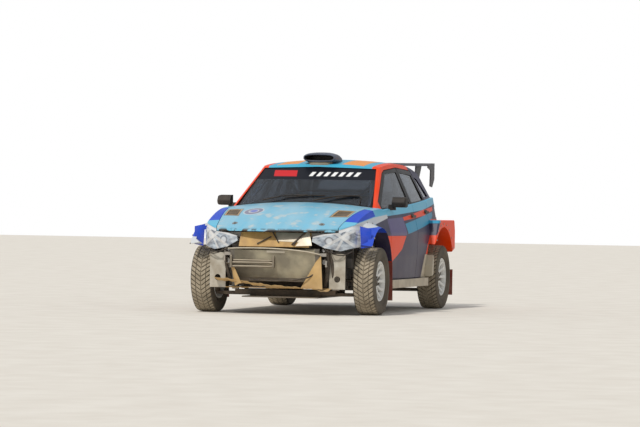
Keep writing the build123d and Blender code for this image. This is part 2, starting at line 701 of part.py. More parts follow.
# Open front: rails, strut towers, slam panel and tow rings
radiator_half_width = 435
slam_x = 1790
plate_x = 1740
tow_x = 1795
tow_left_z = 490
tow_right_z = 535
with BuildPart() as lamp_space:
    add(fresh(headlamp_zone))
    add(tub(headlamp_depth + seat_gap, 4), mode=Mode.SUBTRACT)
with BuildPart() as front_structure:
    for side in (1, -1):
        low_y, high_y = sorted((side * (rail_y - 30), side * (rail_y + 30)))
        add(bounds(firewall_x + 20, plate_x, low_y, high_y, 440, 530))
        add(bounds(plate_x - 50, plate_x, low_y, high_y, 440, 740))
        low_y, high_y = sorted((side * (rail_y - 30), side * 745))
        add(bounds(axle_x - 110, axle_x + 110, low_y, high_y, tower_z, tower_z + 60))
        low_y, high_y = sorted((side * (rail_y - 30), side * (rail_y + 5)))
        add(bounds(axle_x - 110, axle_x + 110, low_y, high_y, 520, tower_z + 60))
    add(bounds(plate_x - 50, slam_x, -600, 600, 735, 778))
    with BuildSketch(Plane.XY.offset(770)):
        with Locations((1735, 430), (1735, -430)):
            Circle(14)
    extrude(amount=200)
    add(tub(skin + seat_gap, skin + seat_gap), mode=Mode.INTERSECT)
    add(fresh(lamp_space.part), mode=Mode.SUBTRACT)
    add(mirrored(lamp_space.part), mode=Mode.SUBTRACT)
    for side in (1, -1):
        low_y, high_y = sorted((side * (rail_y - 30), side * (rail_y + 30)))
        for x in (axle_x - 180, axle_x + 140):
            add(bounds(x, x + 40, low_y, high_y, subframe_top_z + seat_gap, 460))
        low_y, high_y = sorted((side * (radiator_half_width + seat_gap), side * rail_y))
        add(bounds(plate_x - 50, 1830, low_y, high_y, 560, 590))
        tow_z = tow_left_z if side > 0 else tow_right_z
        add(bounds(plate_x - 50, tow_x + 35, *sorted((side * (rail_y - 6), side * (rail_y + 6))),
                   tow_z - 30, tow_z + 30))
        with BuildSketch(Plane.XZ.offset(-side * (rail_y + 20))):
            with Locations((tow_x, tow_z)):
                Circle(tow_hole_radius)
        extrude(amount=side * 40, mode=Mode.SUBTRACT)
hand_over(front_structure.part, "front_structure")

radiator_plane = Plane(origin=(1782, 0, 472), x_dir=(0, 1, 0), z_dir=(cos(radians(21)), 0, -sin(radians(21))))
with BuildPart() as radiator:
    with BuildSketch(radiator_plane):
        Rectangle(2 * radiator_half_width, 320)
    extrude(amount=25, both=True)
hand_over(radiator.part, "radiator")

duct_panel_x = plate_x + seat_gap
with BuildPart() as front_ducting:
    add(side_prism([(slam_x + seat_gap, 738), (slam_x + seat_gap, 782), (1806, 782), (1880, 648), (1874, 644),
                    (1800, 776), (1796, 738)], -345, 345))
    add(bounds(1475, duct_panel_x + 8, -525, 525, 250, 258))
    for side in (1, -1):
        low_y, high_y = sorted((side * 512, side * 668))
        add(bounds(duct_panel_x, duct_panel_x + 8, low_y, high_y, 250, 585))
    with BuildSketch(Plane.YZ.offset(1700)):
        with Locations((590, 345), (-590, 345)):
            Circle(30)
    extrude(amount=100, mode=Mode.SUBTRACT)
hand_over(front_ducting.part, "front_ducting")

with BuildPart() as engine:
    add(bounds(1060, 1560, -engine_half_width, engine_half_width, 262, 860))
    engine_mount_y = rail_y - 30 - seat_gap
    add(bounds(1200, 1260, -engine_mount_y, engine_mount_y, 460, 510))
hand_over(engine.part, "engine")
with BuildPart() as sump_guard:
    add(bounds(firewall_x - 180, 1640, -380, 380, subframe_z - seat_gap - 12, subframe_z - seat_gap))
hand_over(sump_guard.part, "sump_guard")

# Roof scoop and rear wing
scoop_y = 168
scoop_mouth_y = 122
scoop_top_z = 1568
with BuildPart() as roof_scoop:
    with BuildSketch(Plane.XZ.offset(-scoop_y)):
        with BuildLine():
            Polyline((300, 1515), (300, 1430), (-280, 1430), (-280, 1490))
            Spline((-280, 1490), (-120, 1533), (60, 1562), (180, scoop_top_z), (270, 1548), (300, 1515))
        make_face()
    extrude(amount=2 * scoop_y)
    add(plan_prism([(320, -150), (320, 150), (200, scoop_y), (60, scoop_y), (-290, 95), (-290, -95), (60, -scoop_y),
                    (200, -scoop_y)], 1400, 1600), mode=Mode.INTERSECT)
    fillet(roof_scoop.edges().filter_by(lambda edge: edge.center().Z > 1485 and edge.bounding_box().size.X > 100
                                        and abs(edge.center().Y) > 80), 12)
    add(fresh(cabin_outer), mode=Mode.SUBTRACT)
    add(side_prism([(330, 1478), (330, 1510), (20, 1535), (20, 1506)], -scoop_mouth_y, scoop_mouth_y),
        mode=Mode.SUBTRACT)
hand_over(roof_scoop.part, "roof_scoop")
print("scoop", len(roof_scoop.part.solids()))
with BuildPart() as rear_wing:
    with BuildSketch(Plane.XZ.offset(-660)):
        with BuildLine():
            ThreePointArc((-1600, 1462), (-1730, 1492), (-1880, 1482))
            Line((-1880, 1482), (-1880, 1478))
            ThreePointArc((-1880, 1478), (-1730, 1470), (-1600, 1462))
        make_face()
    extrude(amount=1320)
    for side in (1, -1):
        low_y, high_y = sorted((side * 510, side * 524))
        add(side_prism([(-1570, 1230), (-1680, 1230), (-1880, 1480), (-1640, 1480)], low_y, high_y))
        low_y, high_y = sorted((side * 648, side * 660))
        add(side_prism([(-1700, 1255), (-1790, 1245), (-1880, 1330), (-1880, 1495), (-1600, 1475), (-1600, 1445),
                        (-1720, 1420)], low_y, high_y))
    add(fresh(cabin_outer), mode=Mode.SUBTRACT)
    add(fresh(tub_outer), mode=Mode.SUBTRACT)
hand_over(rear_wing.part, "rear_wing")
print("wing", len(rear_wing.part.solids()))

# Small outside pieces
with BuildPart() as mirror_left:
    add(side_prism([(580, 1035), (600, 1080), (565, 1128), (490, 1134), (490, 1032)], 822, 960))
    fillet(mirror_left.edges().filter_by(Axis.Y).filter_by(lambda edge: edge.center().X > 500), 24)
    fillet(mirror_left.faces().sort_by(Axis.Y)[-1].edges().filter_by(lambda edge: edge.center().X > 492), 20)
    add(bounds(525, 560, 780, 850, 1005, 1060))
    add(fresh(cabin_outer), mode=Mode.SUBTRACT)
    add(fresh(tub_outer), mode=Mode.SUBTRACT)
hand_over(mirror_left.part, "mirror_left")
hand_over(mirrored(mirror_left.part), "mirror_right")
with BuildPart() as skirt:
    add(bounds(-800, 690, 800, 868, sill_z, 325))
    add(fresh(tub_outer), mode=Mode.SUBTRACT)
    add(fresh(rear_opening), mode=Mode.SUBTRACT)
with BuildPart() as side_skirts:
    add(skirt.part)
    mirror(skirt.part, about=Plane.XZ)
hand_over(side_skirts.part, "side_skirts")
with BuildPart() as mudflap_pair:
    add(side_prism([(836, 131), (842, 131), (864, 500), (858, 500)], 745, 905))
    add(bounds(-1724.7, -1718.7, 700, 905, 131, 395))
with BuildPart() as mudflaps:
    add(mudflap_pair.part)
    mirror(mudflap_pair.part, about=Plane.XZ)
hand_over(mudflaps.part, "mudflaps")
with BuildPart() as exhaust:
    bar((-1510, -300, sill_z - 30 - seat_gap), (-1880, -300, sill_z - 30 - seat_gap), 30)
hand_over(exhaust.part, "exhaust")

# Inside
cage_radius = 20
cage_bars = [
    ((-420, 660, floor_z - 5), (-420, 690, 950)), ((-420, 690, 950), (-420, 545, 1400)),
    ((-420, 545, 1400), (160, 525, 1355)), ((160, 525, 1355), (760, 640, 985)),
    ((760, 640, 985), (800, 655, floor_z - 5)), ((-420, 545, 1400), (-1180, 500, house_top_z + 20)),
    ((-420, 672, 540), (780, 648, 700)), ((-420, 680, 760), (790, 652, 480)),
]
cross_bars = [((-420, -545, 1400), (-420, 545, 1400)), ((160, -525, 1355), (160, 525, 1355)),
              ((-420, -660, 300), (-420, 545, 1400)), ((-420, -686, 860), (-420, 686, 860))]
cage_runs = []
for start, end in cage_bars:
    for side in (1, -1):
        cage_runs.append(((start[0], side * start[1], start[2]), (end[0], side * end[1], end[2])))
cage_runs += cross_bars
cage_tubes = []
for start, end in cage_runs:
    with BuildPart() as tube:
        bar(start, end, cage_radius)
        for earlier_start, earlier_end in cage_runs[:len(cage_tubes)]:
            with BuildPart(mode=Mode.PRIVATE) as clearance:
                bar(earlier_start, earlier_end, cage_radius + seat_gap)
                with Locations(earlier_start, earlier_end):
                    Sphere(cage_radius + seat_gap)
            add(clearance.part, mode=Mode.SUBTRACT)
        add(bounds(-2000, 2000, -2000, 2000, 0, floor_z + seat_gap), mode=Mode.SUBTRACT)
    cage_tubes.append(tube.part)
with BuildPart() as roll_cage:
    for tube_part in cage_tubes:
        add(tube_part)
hand_over(roll_cage.part, "roll_cage")
print("cage", len(roll_cage.part.solids()))

with BuildPart() as seat:
    with BuildSketch(Plane.XZ.offset(-120)):
        with BuildLine():
            Polyline((260, 330), (270, 470), (40, 560), (-90, 640), (-160, 900), (-280, 1140), (-400, 1140),
                     (-340, 700), (-250, 330), close=True)
        make_face()
    extrude(amount=-500)
    add(side_prism([(400, 440), (180, 425), (-150, 400), (-235, 690), (-310, 1060), (-200, 1100), (400, 1100)], 165, 575),
        mode=Mode.SUBTRACT)
    for low_y in (180, 520):
        add(bounds(-200, 200, low_y, low_y + 40, floor_z, 332))
with BuildPart() as seats:
    add(seat.part)
    mirror(seat.part, about=Plane.XZ)
hand_over(seats.part, "seats")
print("seats", len(seats.part.solids()))

column_tilt = 22
wheel_centre = Vector(400, 370, 900)
column_dir = Vector(-cos(radians(column_tilt)), 0, sin(radians(column_tilt)))
with BuildPart() as dashboard:
    add(side_prism([(firewall_x, 700), (firewall_x, 975), (700, 985), (560, 940), (570, 860), (720, 740)], -600, 600))
    bar(wheel_centre - column_dir * 260, wheel_centre - column_dir * (20 + seat_gap), 28)
hand_over(dashboard.part, "dashboard")
column_plane = Plane(origin=wheel_centre, x_dir=(0, 1, 0), z_dir=column_dir)
with BuildPart() as steering_wheel:
    with BuildSketch(Plane.XZ):
        with Locations((165, 0)):
            Circle(15)
    revolve(axis=Axis.Z)
    with BuildSketch(Plane.XY.offset(-20)):
        Circle(40)
    extrude(amount=28)
    for turn in (0, 120, 240):
        with BuildSketch(Plane.XY.offset(-4).rotated((0, 0, turn - 90))) as arm:
            with Locations((95, 0)):
                Rectangle(130, 30)
        extrude(arm.sketch, amount=8)
hand_over(placed(steering_wheel.part, column_plane), "steering_wheel")
print("done")
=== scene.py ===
from math import cos, pi, radians, sin

import bmesh
import bpy
import numpy as np
from mathutils import Matrix, Vector
from mathutils.bvhtree import BVHTree


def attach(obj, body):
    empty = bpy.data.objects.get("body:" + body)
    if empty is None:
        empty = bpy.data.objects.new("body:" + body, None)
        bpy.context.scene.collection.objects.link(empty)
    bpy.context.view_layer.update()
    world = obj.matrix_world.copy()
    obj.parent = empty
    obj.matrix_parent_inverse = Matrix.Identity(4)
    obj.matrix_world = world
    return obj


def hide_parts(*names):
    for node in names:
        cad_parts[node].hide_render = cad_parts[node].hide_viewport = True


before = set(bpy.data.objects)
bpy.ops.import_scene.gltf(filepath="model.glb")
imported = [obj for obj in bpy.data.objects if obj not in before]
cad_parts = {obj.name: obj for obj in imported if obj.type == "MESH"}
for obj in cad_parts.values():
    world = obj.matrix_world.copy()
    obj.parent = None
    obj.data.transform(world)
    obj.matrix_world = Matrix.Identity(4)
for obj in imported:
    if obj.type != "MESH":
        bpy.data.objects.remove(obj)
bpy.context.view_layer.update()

print("frame loaded:", len(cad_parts), "nodes")

# Metres throughout: x forward, y to the car's left, z up. These places repeat the part's own.
car = {"axleX": 1.285, "wheelY": 0.805, "tyreRadius": 0.325, "beltZ": 1.045, "beltSlope": 0.0559}
bothSides = ((1, "left"), (-1, "right"))


# Meshes

meshing = {"weldDistance": 1e-6, "sharpAngle": radians(38)}


# A mesh object from whole arrays: points (n, 3) and faces (m, 4).
def makePiece(name, points, faces, smooth=True, turn=True):
    mesh = bpy.data.meshes.new(name)
    mesh.from_pydata(points.tolist(), [], faces.tolist())
    solid = bmesh.new()
    solid.from_mesh(mesh)
    bmesh.ops.remove_doubles(solid, verts=solid.verts, dist=meshing["weldDistance"])
    if turn:
        bmesh.ops.recalc_face_normals(solid, faces=solid.faces)
    solid.to_mesh(mesh)
    solid.free()
    mesh.polygons.foreach_set("use_smooth", np.full(len(mesh.polygons), smooth))
    if smooth:
        mesh.set_sharp_from_angle(angle=meshing["sharpAngle"])
    mesh.update()
    piece = bpy.data.objects.new(name, mesh)
    bpy.context.scene.collection.objects.link(piece)
    return piece


# Quads between neighbouring points of a grid, wrapped where it closes.
def gridFaces(rows, columns, closeRows=False, closeColumns=False):
    r = np.arange(rows if closeRows else rows - 1)
    c = np.arange(columns if closeColumns else columns - 1)
    r, c = np.meshgrid(r, c, indexing="ij")
    nextR, nextC = (r + 1) % rows, (c + 1) % columns
    quads = [r * columns + c, nextR * columns + c, nextR * columns + nextC, r * columns + nextC]
    return np.stack(quads, axis=-1).reshape(-1, 4)


# Several (points, faces) pairs as one.
def joined(parts):
    points, faces, start = [], [], 0
    for partPoints, partFaces in parts:
        points.append(partPoints)
        faces.append(partFaces + start)
        start += len(partPoints)
    return np.concatenate(points), np.concatenate(faces)


# Mirrored points need their faces turned round to point outwards.
def flipped(faces, side):
    return faces if side > 0 else faces[:, ::-1]


# Full turns in radians, the last one left out because it meets the first.
def turns(count):
    return np.linspace(0, 2 * pi, count, endpoint=False)


# Profile (radius, along y) turned round the Y axis: x = r sin(a), y = along, z = r cos(a).
def revolved(profile, count, closeProfile=True):
    a, r = np.meshgrid(turns(count), profile[:, 0], indexing="ij")
    along = np.broadcast_to(profile[:, 1], a.shape)
    points = np.stack([r * np.sin(a), along, r * np.cos(a)], axis=-1).reshape(-1, 3)
    return points, gridFaces(count, len(profile), True, closeProfile)


# A round tube along a path: a circle carried along it, in the plane across the path, with closed ends.
def tube(path, radius, sides=12):
    path = np.asarray(path, float)
    run = np.gradient(path, axis=0)
    run /= np.linalg.norm(run, axis=1)[:, None]
    guide = np.array([0.13, 0.31, 0.94])  # a direction that no path follows
    across = np.cross(run, guide)
    across /= np.linalg.norm(across, axis=1)[:, None]
    other = np.cross(run, across)
    turn = turns(sides)
    circle = across[:, None] * np.cos(turn)[None, :, None] + other[:, None] * np.sin(turn)[None, :, None]
    ring = path[:, None] + circle * radius
    firstEnd, lastEnd = np.repeat(path[:1], sides, 0)[None], np.repeat(path[-1:], sides, 0)[None]
    ring = np.concatenate([firstEnd, ring, lastEnd])
    return ring.reshape(-1, 3), gridFaces(len(ring), sides, False, True)


# A soft curve through a few corners: a Catmull-Rom run sampled evenly, as one array.
def smoothPath(corners, count=24):
    corners = np.asarray(corners, float)
    padded = np.vstack([2 * corners[0] - corners[1], corners, 2 * corners[-1] - corners[-2]])
    place = np.linspace(0, len(corners) - 1 - 1e-6, count)
    index = place.astype(int)
    t = (place - index)[:, None]
    p0, p1, p2, p3 = (padded[index + k] for k in range(4))
    return 0.5 * (2 * p1 + (p2 - p0) * t + (2 * p0 - 5 * p1 + 4 * p2 - p3) * t**2
                  + (3 * p1 - p0 - 3 * p2 + p3) * t**3)


# A wave raised to a power with its sign kept, which squares a circle off as the power falls below 1.
def squared(wave, power):
    return np.where(np.abs(wave) < 1e-9, 0.0, np.sign(wave) * np.abs(wave) ** power)


# A box with round edges: a superellipsoid, each cosine raised to a small power.
def softBox(centre, size, power=0.25, rows=17, columns=32):
    v, u = np.meshgrid(np.linspace(-pi / 2, pi / 2, rows), turns(columns), indexing="ij")
    level = squared(np.cos(v), power)
    points = np.stack([level * squared(np.cos(u), power), level * squared(np.sin(u), power),
                       squared(np.sin(v), power)], axis=-1)
    points = points * np.array(size) / 2 + np.array(centre)
    return points.reshape(-1, 3), gridFaces(rows, columns, False, True)[:, ::-1]


# Two grids of points, one behind the other, closed by a strip round their edges.
def closedPatch(front, behind):
    rows, columns = front.shape[:2]
    count = rows * columns
    edge = np.concatenate([np.arange(columns), columns - 1 + columns * np.arange(1, rows),
                           count - 2 - np.arange(columns - 1), columns * np.arange(rows - 2, 0, -1)])
    face = gridFaces(rows, columns)
    rim = np.stack([edge, np.roll(edge, -1), np.roll(edge, -1) + count, edge + count], axis=-1)
    points = np.concatenate([front.reshape(-1, 3), behind.reshape(-1, 3)])
    return points, np.concatenate([face, face[:, ::-1] + count, rim[:, ::-1]])


# A sheet between four corners: a bilinear patch whose middle bulges by 16 u (1 - u) v (1 - v).
def plate(corners, thickness, rows=8, columns=8, bulge=0.0):
    a, b, c, d = (np.array(corner, float) for corner in corners)
    u, v = np.meshgrid(np.linspace(0, 1, rows), np.linspace(0, 1, columns), indexing="ij")
    u, v = u[..., None], v[..., None]
    normal = np.cross(b - a, d - a)
    normal /= np.linalg.norm(normal)
    top = (1 - u) * (1 - v) * a + u * (1 - v) * b + u * v * c + (1 - u) * v * d
    top = top + normal * bulge * 16 * u * (1 - u) * v * (1 - v)
    return closedPatch(top, top - normal * thickness)


boltLevels = [(0.0, 0.0), (1.0, 0.0), (1.0, 0.7), (0.8, 1.0), (0.0, 1.0)]  # shares of radius and height


# Hexagon heads: six-sided prisms with a chamfered top, one at each place.
def bolts(places, radius, height, direction):
    direction = np.array(direction, float) / np.linalg.norm(direction)
    first = np.cross(direction, [0.3, 0.2, 0.9])
    first /= np.linalg.norm(first)
    second = np.cross(direction, first)
    turn = turns(6)[:, None]
    ring = first * np.cos(turn) + second * np.sin(turn)
    head = np.concatenate([ring * radius * r + direction * height * h for r, h in boltLevels])
    face = gridFaces(len(boltLevels), 6, False, True)
    return joined([(head + np.array(place), face) for place in places])


# Materials

# An sRGB colour, 0 to 255, as linear numbers.
def tone(red, green, blue):
    value = np.array([red, green, blue]) / 255
    linear = np.where(value <= 0.04045, value / 12.92, ((value + 0.055) / 1.055) ** 2.4)
    return (*linear.tolist(), 1.0)


dust = {"colour": (0.44, 0.34, 0.25, 1.0), "everywhere": 0.25, "blotches": 0.7, "grains": 0.3,
        "grainScale": 14, "dryRoughness": 0.9}


# One procedural material, read in Object coordinates.
class Finish:
    def __init__(self, name, roughness=0.5, metallic=0.0, coat=0.0, coatRoughness=0.2, specular=0.3):
        self.material = bpy.data.materials.new(name)
        self.material.use_nodes = True
        self.tree = self.material.node_tree
        self.shader = self.tree.nodes["Principled BSDF"]
        for socket, value in (("Roughness", roughness), ("Metallic", metallic), ("Coat Weight", coat),
                              ("Coat Roughness", coatRoughness), ("Specular IOR Level", specular)):
            self.drive(value, socket)
        self.spot = self.tree.nodes.new("ShaderNodeTexCoord").outputs["Object"]
        apart = self.tree.nodes.new("ShaderNodeSeparateXYZ")
        self.tree.links.new(self.spot, apart.inputs[0])
        self.x, self.y, self.z = apart.outputs
        self.sideways = self.calc("ABSOLUTE", self.y)
        together = self.tree.nodes.new("ShaderNodeCombineXYZ")
        for source, socket in zip((self.x, self.sideways, self.z), together.inputs):
            self.tree.links.new(source, socket)
        self.mirrored = together.outputs[0]

    def feed(self, value, socket):
        if isinstance(value, bpy.types.NodeSocket):
            self.tree.links.new(value, socket)
        elif value is not None:
            socket.default_value = value

    def drive(self, value, socketName):
        self.feed(value, self.shader.inputs[socketName])

    def calc(self, operation, a, b=None, c=None, clamp=False):
        node = self.tree.nodes.new("ShaderNodeMath")
        node.operation = operation
        node.use_clamp = clamp
        for value, socket in zip((a, b, c), node.inputs):
            self.feed(value, socket)
        return node.outputs[0]

    def plus(self, a, b):
        return self.calc("ADD", a, b)

    def minus(self, a, b):
        return self.calc("SUBTRACT", a, b)

    def times(self, a, b):
        return self.calc("MULTIPLY", a, b)

    # a times b plus c.
    def scaled(self, a, b, c):
        return self.calc("MULTIPLY_ADD", a, b, c)

    def lower(self, a, b):
        return self.calc("MINIMUM", a, b)

    def gap(self, a, b):
        return self.calc("ABSOLUTE", self.minus(a, b))

    def wave(self, value, frequency):
        return self.calc("SINE", self.times(value, frequency))

    # How far two offsets at right angles reach: the root of their squares' sum.
    def length(self, a, b):
        return self.calc("SQRT", self.plus(self.times(a, a), self.times(b, b)))

    def mix(self, factor, first, second):
        node = self.tree.nodes.new("ShaderNodeMix")
        node.data_type = "RGBA"
        self.feed(factor, node.inputs[0])
        self.feed(first, node.inputs[6])
        self.feed(second, node.inputs[7])
        return node.outputs[2]

    def noise(self, scale, detail=4.0, stretch=None):
        node = self.tree.nodes.new("ShaderNodeTexNoise")
        node.inputs["Scale"].default_value = scale
        node.inputs["Detail"].default_value = detail
        source = self.spot
        if stretch:
            mapping = self.tree.nodes.new("ShaderNodeMapping")
            mapping.inputs["Scale"].default_value = stretch
            self.tree.links.new(self.spot, mapping.inputs[0])
            source = mapping.outputs[0]
        self.tree.links.new(source, node.inputs["Vector"])
        return node.outputs["Fac"]

    # 0 at low and 1 at high, in a straight line.
    def ramp(self, value, low, high):
        node = self.tree.nodes.new("ShaderNodeMapRange")
        self.feed(value, node.inputs[0])
        node.inputs[1].default_value = low
        node.inputs[2].default_value = high
        return node.outputs[0]

    # Noise spread out between two of its values.
    def blotches(self, scale, detail, low, high, stretch=None):
        return self.ramp(self.noise(scale, detail, stretch), low, high)

    def mottled(self, first, second, scale, detail=4.0, low=0.3, high=0.7):
        return self.mix(self.blotches(scale, detail, low, high), first, second)

    # 1 where the place, with y taken as its distance from the middle, lies past a plane.
    def past(self, normal, offset, soft=0.004):
        node = self.tree.nodes.new("ShaderNodeVectorMath")
        node.operation = "DOT_PRODUCT"
        self.tree.links.new(self.mirrored, node.inputs[0])
        node.inputs[1].default_value = normal
        return self.ramp(node.outputs["Value"], offset - soft / 2, offset + soft / 2)

    # 1 inside a convex outline seen along one axis: every edge's half-plane at once.
    def inside(self, corners, axes=(0, 2), soft=0.004):
        corners = np.array(corners, float)
        nextCorners = np.roll(corners, -1, axis=0)
        area = np.sum(corners[:, 0] * nextCorners[:, 1] - nextCorners[:, 0] * corners[:, 1])
        mask = None
        for start, end in zip(corners, nextCorners):
            run = (end - start) * (1 if area > 0 else -1)
            inward = np.array([-run[1], run[0]]) / np.linalg.norm(run)
            normal = [0.0, 0.0, 0.0]
            normal[axes[0]], normal[axes[1]] = inward.tolist()
            edge = self.past(normal, float(inward @ start), soft)
            mask = edge if mask is None else self.lower(mask, edge)
        return mask

    def bump(self, height, strength=0.2, distance=0.002):
        node = self.tree.nodes.new("ShaderNodeBump")
        node.inputs["Strength"].default_value = strength
        node.inputs["Distance"].default_value = distance
        self.feed(height, node.inputs["Height"])
        self.drive(node.outputs[0], "Normal")

    # Dust in blotches with fine grains, thicker low down; it can also dull the gloss.
    def dusted(self, colour, amount, lowZ=0.2, highZ=1.1, scale=7.0, roughness=None):
        height = self.scaled(self.ramp(self.z, highZ, lowZ), 1 - dust["everywhere"], dust["everywhere"])
        blotch = self.blotches(scale, 6.0, 0.35, 0.75)
        grain = self.times(self.blotches(scale * dust["grainScale"], 3.0, 0.3, 0.8), dust["grains"])
        cover = self.scaled(blotch, dust["blotches"], grain)
        mask = self.calc("MULTIPLY", cover, self.times(height, amount), clamp=True)
        if roughness:
            self.drive(self.scaled(mask, dust["dryRoughness"] - roughness, roughness), "Roughness")
        return self.mix(mask, colour, dust["colour"])

    def done(self, colour):
        self.drive(colour, "Base Color")
        return self.material


# A single-coloured part with mottling, fine grain and road dust.
def plain(name, colour, roughness, metallic=0.0, dirt=0.5, lowZ=0.2, highZ=1.1, grain=60.0, strength=0.15):
    finish = Finish(name, roughness, metallic)
    darker = (*(0.72 * part for part in colour[:3]), 1.0)
    shade = finish.mottled(colour, darker, 9.0)
    finish.bump(finish.noise(grain, 6.0), strength, 0.001)
    return finish.done(finish.dusted(shade, dirt, lowZ, highZ, roughness=roughness))


# Carried-over nodes take a finish in all their slots.
def paintAll(names, material):
    for name in names:
        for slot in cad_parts[name].material_slots:
            slot.material = material


# Makes a new piece, gives it its finish and lets it ride on its body.
def place(name, shape, material, body, slotName, smooth=True, turn=True):
    piece = makePiece(name, *shape, smooth, turn)
    piece.data.materials.append(material)
    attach(piece, body)
    return piece


# Paint and livery: each patch is a hue and its convex outline (x, z), laid over the ones before it.
hues = {
    "sky": tone(104, 186, 218), "roofSky": tone(58, 172, 208), "slate": tone(44, 40, 72),
    "violet": tone(92, 84, 128), "teal": tone(44, 148, 186), "orange": tone(242, 66, 0),
    "amber": tone(244, 148, 14), "royal": tone(14, 72, 204), "chalk": tone(204, 208, 212),
    "pale": tone(198, 188, 168), "black": tone(9, 9, 11), "tan": tone(190, 150, 92),
}
sidePatches = [
    ("sky", [(1.25, 0.905), (0.17, 0.936), (-0.80, 1.010), (-2.0, 1.060), (-2.0, 1.30), (1.25, 1.30)]),
    ("violet", [(0.72, 0.920), (0.17, 0.936), (0.13, 0.760), (0.72, 0.757)]),
    ("teal", [(0.13, 0.872), (0.09, 0.771), (-1.12, 0.880), (-1.35, 0.950), (-1.35, 0.990), (-0.81, 0.953)]),
    ("orange", [(0.17, 0.936), (0.13, 0.872), (-0.81, 0.953), (-1.42, 0.985), (-1.42, 1.040),
                (-0.80, 1.010)]),
    ("orange", [(0.86, 0.755), (0.16, 0.753), (0.30, 0.625), (0.62, 0.505), (0.86, 0.440)]),
    ("orange", [(-1.165, 0.915), (-0.775, 0.560), (-2.05, 0.535), (-2.05, 0.915)]),
    ("pale", [(-0.735, 0.562), (-0.56, 0.240), (-1.30, 0.240), (-1.95, 0.538)]),
    ("sky", [(2.0, 0.60), (2.0, 1.20), (0.696, 1.20), (0.696, 0.93), (1.20, 0.80), (1.50, 0.60)]),
    ("chalk", [(1.80, 0.800), (1.60, 0.872), (1.12, 0.932), (0.696, 0.962), (0.696, 0.905), (1.15, 0.862),
               (1.78, 0.770)]),
    ("royal", [(1.72, 0.930), (1.10, 1.020), (1.06, 0.945), (1.58, 0.880)]),
    ("royal", [(1.84, 0.800), (1.17, 0.858), (0.98, 0.840), (1.30, 0.690), (1.60, 0.655), (1.84, 0.700)]),
]
whiteCorner = ("chalk", [(1.84, 0.706), (1.50, 0.735), (1.50, 0.560), (1.84, 0.560)])
paintLook = {"roughness": 0.36, "coat": 0.06, "specular": 0.12, "dirt": 0.18, "worn": 0.04,
             "chipScale": 150.0, "chipsUpTo": 0.95, "chipsFullAt": 0.35}


# Height of the window line, which rises evenly towards the rear.
def beltHeight(x):
    return car["beltZ"] - x * car["beltSlope"]


# Glossy paint with patches seen from the side, worn spots, chips low down, and dust thickest on the sills.
def paint(name, base, patches):
    finish = Finish(name, paintLook["roughness"], 0.0, paintLook["coat"], specular=paintLook["specular"])
    colour = hues[base]
    for hue, outline in patches:
        colour = finish.mix(finish.inside(outline), colour, hues[hue])
    worn = finish.blotches(3.2, 5.0, 0.38, 0.66)
    colour = finish.mix(finish.times(worn, paintLook["worn"]), colour, hues["chalk"])
    chips = finish.blotches(paintLook["chipScale"], 2.0, 0.735, 0.76)
    low = finish.ramp(finish.z, paintLook["chipsUpTo"], paintLook["chipsFullAt"])
    colour = finish.mix(finish.times(chips, low), colour, hues["pale"])
    finish.bump(finish.noise(26.0, 3.0), 0.05, 0.002)
    return finish.done(finish.dusted(colour, paintLook["dirt"], 0.22, 1.0, 6.0, paintLook["roughness"]))


overBelt = [(1.25, beltHeight(1.25) + 0.004), (-2.0, beltHeight(-2.0) + 0.004), (-2.0, 1.7), (1.25, 1.7)]
railPatch = [(1.25, beltHeight(1.25)), (-1.0, beltHeight(-1.0)), (-0.78, 1.7), (1.25, 1.7)]
sidePaint = paint("paint_body_side", "slate", sidePatches + [("slate", overBelt), ("orange", railPatch)])
doorPaint = paint("paint_doors", "slate", sidePatches + [("black", overBelt)])
paintAll(["fender_left"], paint("paint_fender_left", "slate", sidePatches))
paintAll(["fender_right"], paint("paint_fender_right", "slate", sidePatches + [whiteCorner]))
paintAll(["body_side_left", "body_side_right", "rear_bumper"], sidePaint)
paintAll(["door_front_left", "door_front_right", "door_rear_left", "door_rear_right"], doorPaint)

bonnetLook = {
    "roughness": 0.32, "coat": 0.4, "dirt": 0.32, "streaks": 0.42, "scuffs": 0.6,
    "edgeZ": 0.822, "edgeBlackZ": 0.800,
    "tapeEdge": [(1.555, 0.448), (1.488, 0.620), (1.245, 0.640), (1.292, 0.468)],
    "tape": [(1.535, 0.458), (1.478, 0.612), (1.258, 0.630), (1.300, 0.478)],
    "roundX": 1.42, "roundY": -0.335, "roundNarrow": 1.15,
    "rings": [(0.118, "chalk"), (0.104, "violet"), (0.062, "chalk"), (0.046, "royal")],
}


# Sky blue with paler streaks, tape round the two vents, a plain round patch and a ragged black front edge,
# partly dark tape and partly painted shade of the gap under it.
def bonnetPaint():
    look = bonnetLook
    finish = Finish("paint_bonnet", look["roughness"], 0.0, look["coat"])
    # Paler streaks along the car, from noise stretched across it.
    streak = finish.blotches(2.4, 6.0, 0.36, 0.72, (0.5, 2.6, 1.0))
    colour = finish.mix(finish.times(streak, look["streaks"]), hues["sky"], tone(190, 214, 222))
    outer = finish.inside(look["tapeEdge"], (0, 1), 0.012)
    colour = finish.mix(finish.times(outer, 0.85), colour, tone(38, 36, 34))
    colour = finish.mix(finish.inside(look["tape"], (0, 1), 0.004), colour, hues["tan"])
    ahead = finish.minus(finish.x, look["roundX"])
    beside = finish.times(finish.minus(finish.y, look["roundY"]), look["roundNarrow"])
    away = finish.length(ahead, beside)
    for radius, hue in look["rings"]:
        colour = finish.mix(finish.times(finish.ramp(away, radius, radius - 0.004), 0.8), colour, hues[hue])
    scuff = finish.blotches(9.0, 7.0, 0.585, 0.68)
    colour = finish.mix(finish.times(scuff, look["scuffs"]), colour, tone(214, 214, 206))
    # Black in blotches along the front edge: partly dark tape, partly painted shade of the gap under the
    # raised bonnet.
    edge = finish.ramp(finish.z, look["edgeZ"], look["edgeBlackZ"])
    colour = finish.mix(finish.times(edge, finish.blotches(16.0, 4.0, 0.42, 0.50)), colour, hues["black"])
    finish.bump(finish.noise(5.0, 3.0), 0.12, 0.01)
    return finish.done(finish.dusted(colour, look["dirt"], 0.7, 1.2, 9.0, look["roughness"]))


